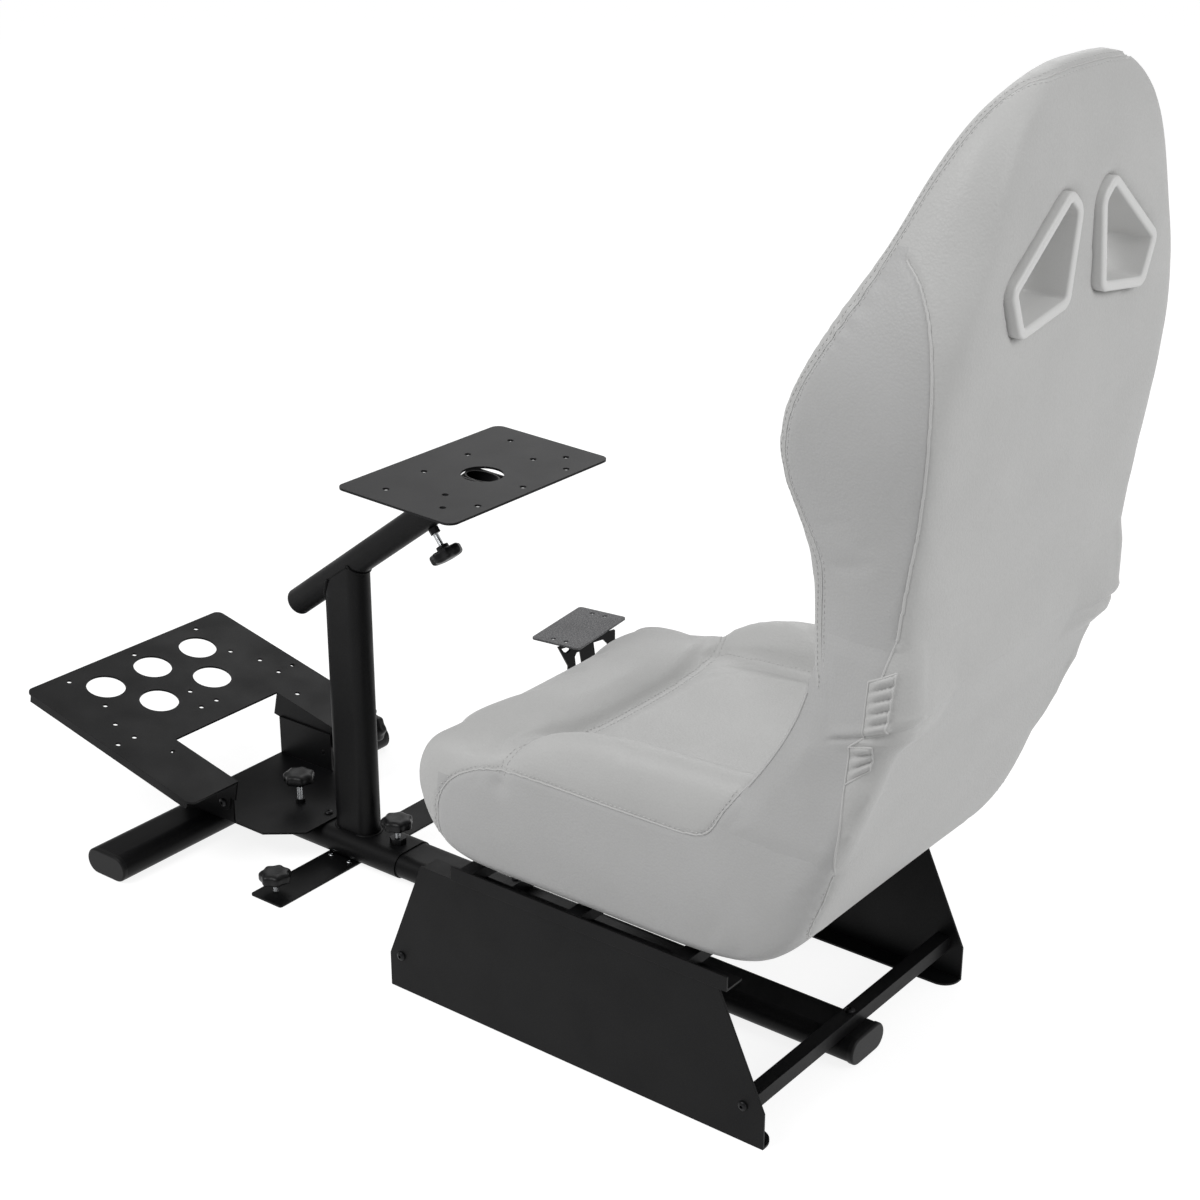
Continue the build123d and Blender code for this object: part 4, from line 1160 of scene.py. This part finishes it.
def stretchedOver(gaps):
    # a taut sheet between the pads: it lies on what stands out and spans what lies deeper
    ground = np.minimum(gaps, np.median(gaps, axis=0, keepdims=True) + hingeCover["slack"])
    sheet = ground.copy()
    for _ in range(hingeCover["stretches"]):
        middle = (sheet[:-2, 1:-1] + sheet[2:, 1:-1] + sheet[1:-1, :-2] + sheet[1:-1, 2:]) / 4
        sheet[1:-1, 1:-1] = np.minimum(ground[1:-1, 1:-1], middle)
    return sheet


def inPatch(corners, y, z):
    # how far across and down a point is in a four-cornered patch
    (ay, az), (by, bz), (cy, cz), (dy, dz) = corners
    across, down = 0.5, 0.5
    for _ in range(8):
        topZ, lowZ = az + (bz - az) * across, dz + (cz - dz) * across
        down = (z - topZ) / (lowZ - topZ)
        leftY, rightY = ay + (dy - ay) * down, by + (cy - by) * down
        across = (y - leftY) / (rightY - leftY)
    return across, down


def pleatLift(y, z):
    for name in ("upper", "lower"):
        across, down = inPatch(hingeCover[name], y, z)
        if 0 < across < 1 and 0 < down < 1:
            # each fold rises slowly and drops off sharply, and dies out towards the front
            phase = (hingeCover["pleats"][name] * down) % 1.0
            fold = math.sin(math.pi * phase ** 0.6) ** 0.8
            fade = min(1.0, across / 0.45) * min(1.0, (1 - across) / 0.08)
            return hingeCover["pleatHeight"] * (fold - 0.25) * fade
    return 0.0


def foldLift(x, y, z):
    (frontY, frontZ), (rearY, rearZ) = hingeCover["foldFront"], hingeCover["foldRear"]
    foldZ = frontZ + (y - frontY) * (rearZ - frontZ) / (rearY - frontY)
    fade = min(1.0, max(0.0, (y - frontY) / 0.02)) * min(1.0, max(0.0, (abs(x) - 0.13) / 0.07))
    valley = math.exp(-((z - foldZ) / hingeCover["foldWidth"]) ** 2)
    roll = math.exp(-((z - foldZ - hingeCover["rollAbove"]) / hingeCover["rollWidth"]) ** 2)
    return hingeCover["foldDepth"] * fade * (0.6 * roll - valley)


def bulgeLift(x, y, z):
    # the slack of the cover stands out above the fold, round the corners
    low = np.interp(y, (0.960, 1.000, hingeCover["foldRear"][0]), (0.560, 0.562, 0.566))
    rise = np.interp(z, (low, low + 0.022, 0.640, 0.700), (0, 1, 0.55, 0))
    near = np.interp(y, (0.955, 1.015), (0, 1)) * np.interp(abs(x), (0.14, 0.205), (0, 1))
    return hingeCover["bulge"] * float(rise * near)


def makeHingeCover():
    rows, columns = hingeCover["rows"], 2 * hingeCover["sideColumns"] + hingeCover["rearColumns"]
    clearSelection()
    bpy.ops.mesh.primitive_grid_add(x_subdivisions=columns, y_subdivisions=rows, size=2)
    cover = bpy.context.object
    cover.name = "hingeCover"
    levels = np.linspace(hingeCover["zLow"], hingeCover["zHigh"], rows + 1)
    table = np.array([coverRow(float(z)) for z in levels])
    # beside the pads the sheet hangs straight where there is nothing to lie on
    gaps = np.where(table[:, :, 3] == 0, hingeCover["sideHang"], hingeCover["rearGap"])
    for tree in (treeOf(base), treeOf(back)):
        for j, z in enumerate(levels):
            for i, (x, y, nx, ny) in enumerate(table[j]):
                distance = tree.ray_cast(Vector((x, y, z)), Vector((-nx, -ny, 0)))[3]
                if distance is not None:
                    gaps[j, i] = min(gaps[j, i], distance)
    sheet = stretchedOver(gaps)
    for vertex in cover.data.vertices:
        i = round((vertex.co.x + 1) / 2 * columns)
        j = round((vertex.co.y + 1) / 2 * rows)
        x, y, nx, ny = table[j, i]
        z = float(levels[j])
        edge = min(1.0, min(j, rows - j, i, columns - i) / hingeCover["edgeRows"])
        hold = edge * edge * (3 - 2 * edge)
        lift = hingeCover["lift"] * hold - hingeCover["tuck"] * (1 - hold)
        x, y = x - nx * sheet[j, i], y - ny * sheet[j, i]
        lift += hold * (foldLift(x, y, z) + bulgeLift(x, y, z))
        if abs(x) > hingeCover["sideFromX"]:
            lift += pleatLift(y, z)
        vertex.co = (x + nx * lift, y + ny * lift, z)
    pickOnly(cover)
    middle = cover.data.polygons[len(cover.data.polygons) // 2 + columns // 2]
    if middle.normal.y < 0:
        inEditMode(cover)
        bpy.ops.mesh.flip_normals()
        bpy.ops.object.mode_set(mode='OBJECT')
    applyModifier(cover, 'SOLIDIFY', thickness=hingeCover["thickness"], offset=-1)
    smoothShade(cover, 180)
    dress(cover, seatLeather)
    # painted shade: the side faces of the sheet get the darker copy of the same leatherette
    edges = sorted((z, y) for y, z in hingeCover["panelEdge"])
    cover.data.materials.append(shadedSideLeather)
    for face in cover.data.polygons:
        edgeY = np.interp(face.center.z, [z for z, _ in edges], [y for _, y in edges])
        if abs(face.center.x) > hingeCover["sideFromX"] and face.center.y < edgeY:
            face.material_index = 1
    return cover


def onCover(tree, side, points):
    # lays points given as y and z onto the sheet, seen from that side
    walk = [(side * hingeCover["castX"], y, z) for y, z in points]
    return [spot for spot, _ in castOnto(tree, walk, (-side, 0, 0))]


def trimCover():
    # welts round the pleated patches and along the front edge, piping between them and down to the base
    tree = treeOf(cover)
    step, low, high = hingeCover["weltStep"], hingeCover["rimLow"], hingeCover["rimHigh"]
    pieces = []
    for side in (1, -1):
        for name in ("upper", "lower"):
            corners = [*hingeCover[name], hingeCover[name][0]]
            outline = []
            for (y0, z0), (y1, z1) in zip(corners, corners[1:]):
                outline += [(y0 + (y1 - y0) * t, z0 + (z1 - z0) * t) for t in np.arange(0, 1, 0.05)]
            spots = onCover(tree, side, outline)
            even = smoothPath(spots, step, closed=True)
            pieces.append(tubeAlong("weltPatch", even, hingeCover["weltRadius"], closed=True))
        edge = hingeCover["panelEdge"]
        rim = [(y + hingeCover["rimInset"], z) for z, y in hingeCover["front"] if low < z < high]
        for part in (edge[:2], edge[3:5], edge[5:], rim):
            walk = [(y, z) for _, y, z in smoothPath([(0, y, z) for y, z in part], step)]
            pieces.append(tubeAlong("pipingPatch", onCover(tree, side, walk), hingeCover["weltRadius"]))
    trim = joined(pieces, "hingeCoverTrim")
    dress(trim, pipingVinyl)
    return trim


cover = makeHingeCover()
coverTrim = trimCover()
for piece in (cover, coverTrim):
    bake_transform(piece)
print("hinge cover:", len(cover.data.polygons), "faces")


# Harness bezels, moulded rings through the seat back

def makeBezel(side, name):
    ring = harnessPost(side)
    low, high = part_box("harness_bezels")
    ring.name = name
    for vertex in ring.data.vertices:
        vertex.co.y = high.y if vertex.co.y > 1.2 else low.y
    inEditMode(ring, lambda centre, normal: abs(normal.y) > 0.9)
    bpy.ops.mesh.inset(thickness=harness["ring"])
    bpy.ops.mesh.bridge_edge_loops()
    bpy.ops.object.mode_set(mode='OBJECT')
    facingOut(ring)
    applyModifier(
        ring, 'BEVEL', width=mm(3.2), segments=4, limit_method='ANGLE', angle_limit=math.radians(50)
    )
    smoothShade(ring, 40)
    dress(ring, bezelPlastic)
    return ring


bezels = [makeBezel(1, "harnessBezelLeft"), makeBezel(-1, "harnessBezelRight")]
for bezel in bezels:
    hand(bezel, "backrest", ["harness_bezels"])
print("bezels")


# Star knobs on their studs

columnLean = math.radians(37)
knob = {
    "lobes": 7, "valley": 0.13, "neckRadius": mm(9), "radius": mm(24), "pointsPerLobe": 12,
    "halfHeight": mm(11), "studInside": mm(2),
    # height and share of the radius, from the underside of the lobes to the dished top
    "profile": (
        (6.0, 0.62), (6.1, 0.86), (7.2, 0.955), (9.5, 1.0), (16.0, 1.0), (18.6, 0.965),
        (20.4, 0.88), (21.5, 0.74), (22.0, 0.58), (21.6, 0.36), (21.3, 0.16),
    ),
}
stud = {"radius": mm(4), "pitch": mm(1.25), "depth": mm(0.4), "sides": 24, "stepsPerTurn": 4}
knobPlaces = {
    # knob node: body, the way its stud points, length of the stud, replaced stud node
    "rail_knob": ("front_frame", (0, 0, 1), mm(20), "clamp_studs"),
    "bracket_knob": ("front_frame", (0, 0, 1), mm(32), "clamp_studs"),
    "bar_knob": ("front_frame", (0, 0, 1), mm(13), "clamp_studs"),
    "column_knob": (
        "front_frame", (0, math.sin(columnLean), -math.cos(columnLean)), mm(25), "clamp_studs"
    ),
    "tilt_knob": ("pedal_deck_body", (-1, 0, 0), mm(102), "tilt_stud"),
}


def knobRing(height, share):
    points = []
    count = knob["lobes"] * knob["pointsPerLobe"]
    for step in range(count):
        turn = 2 * math.pi * step / count
        valley = knob["valley"] * (0.5 - 0.5 * math.cos(knob["lobes"] * turn)) ** 0.8
        reach = knob["radius"] * share * (1 - valley * min(1.0, max(0.0, (share - 0.3) / 0.5)))
        points.append((reach * math.cos(turn), reach * math.sin(turn), mm(height)))
    return points


def plainRing(height, radius):
    count = knob["lobes"] * knob["pointsPerLobe"]
    turns = [2 * math.pi * step / count for step in range(count)]
    return [(radius * math.cos(turn), radius * math.sin(turn), mm(height)) for turn in turns]


def knobMesh():
    neck = knob["neckRadius"]
    rings = [plainRing(0, neck - mm(0.8)), plainRing(0.8, neck), plainRing(5.6, neck)]
    rings += [knobRing(height, share) for height, share in knob["profile"]]
    piece = loftRings("knobPattern", rings)
    smoothShade(piece, 50)
    return piece


def threadedRod(name, length):
    # a grid rolled into a rod whose surface rises and falls along a helix
    turns = length / stud["pitch"]
    columns, rows = stud["sides"], max(4, round(turns * stud["stepsPerTurn"]))
    clearSelection()
    bpy.ops.mesh.primitive_grid_add(x_subdivisions=columns, y_subdivisions=rows, size=2)
    rod = bpy.context.object
    rod.name = name
    for vertex in rod.data.vertices:
        turn = math.pi * (vertex.co.x + 1)
        height = (vertex.co.y + 1) / 2 * length
        phase = (height / stud["pitch"] - turn / (2 * math.pi)) % 1.0
        radius = stud["radius"] - stud["depth"] * abs(2 * phase - 1)
        vertex.co = (radius * math.cos(turn), radius * math.sin(turn), height)
    facingOut(rod)
    smoothShade(rod, 40)
    dress(rod, zincSteel)
    return rod


def placeKnobs():
    pattern = knobMesh()
    for name, (body, way, length, studNode) in knobPlaces.items():
        low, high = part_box(name)
        middle = (low + high) / 2
        way = Vector(way)
        foot = middle - way * knob["halfHeight"]
        place = frameAlong(foot, way, (0, 1, 0) if abs(way.x) > 0.5 else (1, 0, 0))
        piece = copyOf(pattern, place)
        piece.name = "starKnob_" + name.split("_")[0]
        dress(piece, knobPlastic)
        hand(piece, body, [name])
        rod = threadedRod("stud_" + name.split("_")[0], length + knob["studInside"])
        placeMesh(rod, frameAlong(foot - way * length, way))
        hand(rod, body, [studNode])
    bpy.data.objects.remove(pattern)


placeKnobs()
print("knobs and studs")


# Button-head screws

screw = {
    # shares of the head's radius, of its height and of a quarter turn
    "socket": 0.36, "shank": 0.6, "edge": 0.25, "dome": 0.72,
    "domeSteps": 5, "sides": 36, "shankDepth": 2.5,
}
screwPlaces = {
    # node: body, slot, head radius, head height, places and the way each head faces
    "frame_bolts": ("base", "black_fasteners", 6.5, 4.5, (
        ((239, 305, 50.9), (1, 0, 0)), ((239, 855, 50.9), (1, 0, 0)),
        ((-239, 305, 50.9), (-1, 0, 0)), ((-239, 855, 50.9), (-1, 0, 0)),
        ((0, 305, 60.9), (0, 0, 1)), ((0, 855, 60.9), (0, 0, 1)),
    )),
    "shifter_arm_bolts": ("base", "black_fasteners", 6.5, 4.5, (
        ((-239, 375.5, 130), (-1, 0, 0)), ((-239, 336.5, 130), (-1, 0, 0)),
    )),
    "bracket_bolt": ("front_frame", "black_fasteners", 6.5, 4.5, (((0, -62, 45.8), (0, 0, 1)),)),
    "pivot_bolt": ("pedal_deck_body", "black_fasteners", 6.5, 4.5, (((109, -172, 74), (1, 0, 0)),)),
    "floor_bar_screws": ("front_frame", "zinc_fasteners", 4.2, 2.2, tuple(
        ((x, y, 3), (0, 0, 1)) for x in (36, -36) for y in (-24, 12)
    )),
}


def screwRing(reach, z):
    turns = [2 * math.pi * side / screw["sides"] for side in range(screw["sides"])]
    return [(reach * math.cos(turn), reach * math.sin(turn), z) for turn in turns]


def screwMesh(radius, height):
    # the shank, the flat underside of the head, its edge and its dome
    rings = []
    for step in range(screw["domeSteps"] + 1):
        turn = math.pi / 2 * screw["dome"] * step / screw["domeSteps"]
        rise = screw["edge"] + (1 - screw["edge"]) * math.sin(turn)
        rings.append(screwRing(radius * math.cos(turn), height * rise))
    rings.insert(0, [(x, y, 0.0) for x, y, _ in rings[0]])
    rings.insert(0, [(x * screw["shank"], y * screw["shank"], 0.0) for x, y, _ in rings[0]])
    rings.insert(0, [(x, y, -screw["shankDepth"]) for x, y, _ in rings[0]])
    head = loftRings("screwPattern", [[(mm(x), mm(y), mm(z)) for x, y, z in ring] for ring in rings])
    bpy.ops.mesh.primitive_cylinder_add(
        vertices=6, radius=mm(radius * screw["socket"]), depth=mm(height), location=(0, 0, mm(height))
    )
    cutAway(head, bpy.context.object)
    smoothShade(head, 35)
    return head


def placeScrews():
    for name, (body, slot, radius, height, places) in screwPlaces.items():
        pattern = screwMesh(radius, height)
        heads = [
            copyOf(pattern, frameAlong([mm(v) for v in spot], way, (0, 1, 0))) for spot, way in places
        ]
        bpy.data.objects.remove(pattern)
        piece = joined(heads, "screws_" + name)
        dress(piece, zincSteel if slot == "zinc_fasteners" else blackSteel)
        hand(piece, body, [name])


placeScrews()
print("screws")


# Weld beads under the coat

weld = {"width": mm(5.5), "height": mm(3.4), "step": mm(2.3), "overlap": 2.4}
# in mm, as the paths of the beads are
upright = {
    "length": 75, "width": 40, "footZ": 42.9, "outlineSteps": 40,
    "footGrow": 0.6, "headGrow": 0.4, "headSink": 1,
}
column = {"lowY": -98, "lowZ": 382, "radius": 20}
riser = {
    "x": -463, "y": 123, "runX": 56, "runY": -14, "halfWall": 3, "footZ": 114.4,
    "places": (0.02, 0.35, 0.65, 0.98),
}


def beadAlong(name, path, body):
    clearSelection()
    bpy.ops.mesh.primitive_uv_sphere_add(segments=8, ring_count=6, radius=0.5)
    blob = bpy.context.object
    blob.scale = (weld["step"] * weld["overlap"], weld["width"], weld["height"])
    placeMesh(blob)
    built = bmesh.new()
    path = smoothPath([tuple(mm(v) for v in p) for p in path], weld["step"])
    for here, after in zip(path, path[1:]):
        start = len(built.verts)
        built.from_mesh(blob.data)
        built.verts.ensure_lookup_table()
        bmesh.ops.transform(
            built, matrix=frameAlong(here, (0, 0, 1), after - here), verts=built.verts[start:]
        )
    mesh = bpy.data.meshes.new(name)
    built.to_mesh(mesh)
    built.free()
    bpy.data.objects.remove(blob)
    piece = bpy.data.objects.new(name, mesh)
    bpy.context.scene.collection.objects.link(piece)
    smoothShade(piece, 80)
    dress(piece, frameCoat)
    hand(piece, body)


def slotOutline(grow):
    # round the upright's flat-oval section, its long way along Y
    radius = upright["width"] / 2
    flat = upright["length"] / 2 - radius
    points = []
    for step in range(upright["outlineSteps"] + 1):
        turn = 2 * math.pi * step / upright["outlineSteps"]
        y = (radius + grow) * math.sin(turn) + math.copysign(flat, math.sin(turn))
        points.append(((radius + grow) * math.cos(turn), y))
    return points


def underColumn(x, y):
    # the height of the column's underside over a point, or of its middle beyond its sides
    drop = math.sqrt(max(0.0, column["radius"] ** 2 - x ** 2))
    along = (y - column["lowY"] - drop * math.sin(columnLean)) / math.cos(columnLean)
    return column["lowZ"] + along * math.sin(columnLean) - drop * math.cos(columnLean)


def riserFoot(side):
    # along the rear or the front face of the riser's sheet, where it stands on the arm
    path = []
    for share in riser["places"]:
        y = riser["y"] + riser["runY"] * share + side * riser["halfWall"]
        path.append((riser["x"] + riser["runX"] * share, y, riser["footZ"]))
    return path


uprightFoot = [(x, y, upright["footZ"]) for x, y in slotOutline(upright["footGrow"])]
uprightHead = [
    (x, y, underColumn(x, y) - upright["headSink"]) for x, y in slotOutline(upright["headGrow"])
]
beadAlong("weldUprightFoot", uprightFoot, "front_frame")
beadAlong("weldUprightHead", uprightHead, "front_frame")
beadAlong("weldRiserFootRear", riserFoot(1), "base")
beadAlong("weldRiserFootFront", riserFoot(-1), "base")
print("welds")


# Floor, light and camera

studio = {
    "floorSize": 60.0,
    "worldStrength": 0.48,
    "lamps": (
        # name, place, size, power in watts
        ("keyLamp", (3.2, -1.2, 4.4), 3.0, 128.0),
        ("rearLamp", (-0.6, 4.8, 3.0), 3.0, 76.0),
        ("fillLamp", (-3.6, -1.6, 3.2), 3.6, 46.0),
    ),
    "lookAt": (0.0, 0.35, 0.45),
}
view = {
    "place": (2.1104, 2.0918, 1.6307),
    "back": (0.7297, 0.5664, 0.3830),
    "right": (-0.6131, 0.7899, 0.0),
    "lens": 67.23,
    "sensor": 36.0,
}


def makeFloor():
    clearSelection()
    bpy.ops.mesh.primitive_grid_add(x_subdivisions=8, y_subdivisions=8, size=studio["floorSize"])
    floor = bpy.context.object
    floor.name = "studioFloor"
    material = bpy.data.materials.new("paperFloor")   # matt seamless paper, white where it is seen
    material.use_nodes = True
    tree = material.node_tree
    tree.nodes.clear()
    rays = addNode(tree, "ShaderNodeLightPath").outputs
    seen = addNode(
        tree, "ShaderNodeMath", {"operation": 'MAXIMUM'},
        {0: rays["Is Camera Ray"], 1: rays["Is Glossy Ray"]},
    ).outputs["Value"]
    seen = addNode(
        tree, "ShaderNodeMath", {"operation": 'MAXIMUM'}, {0: seen, 1: rays["Is Transmission Ray"]}
    ).outputs["Value"]
    paper = addNode(tree, "ShaderNodeBsdfDiffuse", {"Color": hexToLinear("#c8c8c8")})
    shadowed = addNode(tree, "ShaderNodeBsdfDiffuse", {"Color": hexToLinear("#909090")})
    white = addNode(tree, "ShaderNodeEmission", {"Strength": 0.86})
    lit = addNode(tree, "ShaderNodeAddShader", None, {0: shadowed.outputs[0], 1: white.outputs[0]})
    mix = addNode(
        tree, "ShaderNodeMixShader", None, {0: seen, 1: paper.outputs[0], 2: lit.outputs[0]}
    )
    addNode(tree, "ShaderNodeOutputMaterial", None, {"Surface": mix.outputs[0]})
    dress(floor, material)


def makeWorld():
    world = bpy.data.worlds.new("studioWorld")
    bpy.context.scene.world = world
    world.use_nodes = True
    tree = world.node_tree
    tree.nodes.clear()
    rays = addNode(tree, "ShaderNodeLightPath").outputs
    soft = addNode(tree, "ShaderNodeBackground", {"Strength": studio["worldStrength"]})
    white = addNode(tree, "ShaderNodeBackground", {"Strength": 1.0})
    for node in (soft, white):
        node.inputs["Color"].default_value = (1, 1, 1, 1)
    mix = addNode(
        tree, "ShaderNodeMixShader", None,
        {0: rays["Is Camera Ray"], 1: soft.outputs[0], 2: white.outputs[0]},
    )
    addNode(tree, "ShaderNodeOutputWorld", None, {"Surface": mix.outputs[0]})


def makeLamps():
    for name, place, size, power in studio["lamps"]:
        lamp = bpy.data.lights.new(name, 'AREA')
        lamp.shape = 'DISK'
        lamp.size = size
        lamp.energy = power
        holder = bpy.data.objects.new(name, lamp)
        bpy.context.scene.collection.objects.link(holder)
        holder.location = place
        aim = Vector(place) - Vector(studio["lookAt"])
        holder.rotation_euler = aim.to_track_quat('Z', 'Y').to_euler()


def makeCamera():
    lens = bpy.data.cameras.new("photoCamera")
    lens.lens = view["lens"]
    lens.sensor_width = view["sensor"]
    lens.sensor_fit = 'HORIZONTAL'
    holder = bpy.data.objects.new("photoCamera", lens)
    bpy.context.scene.collection.objects.link(holder)
    backward = Vector(view["back"]).normalized()
    right = Vector(view["right"]).normalized()
    turn = Matrix((right, backward.cross(right), backward)).transposed()
    holder.matrix_world = Matrix.Translation(Vector(view["place"])) @ turn.to_4x4()
    bpy.context.scene.camera = holder


makeFloor()
makeWorld()
makeLamps()
makeCamera()
bpy.context.scene.view_settings.view_transform = 'Standard'
print("studio: floor, light and camera")

clearSelection()
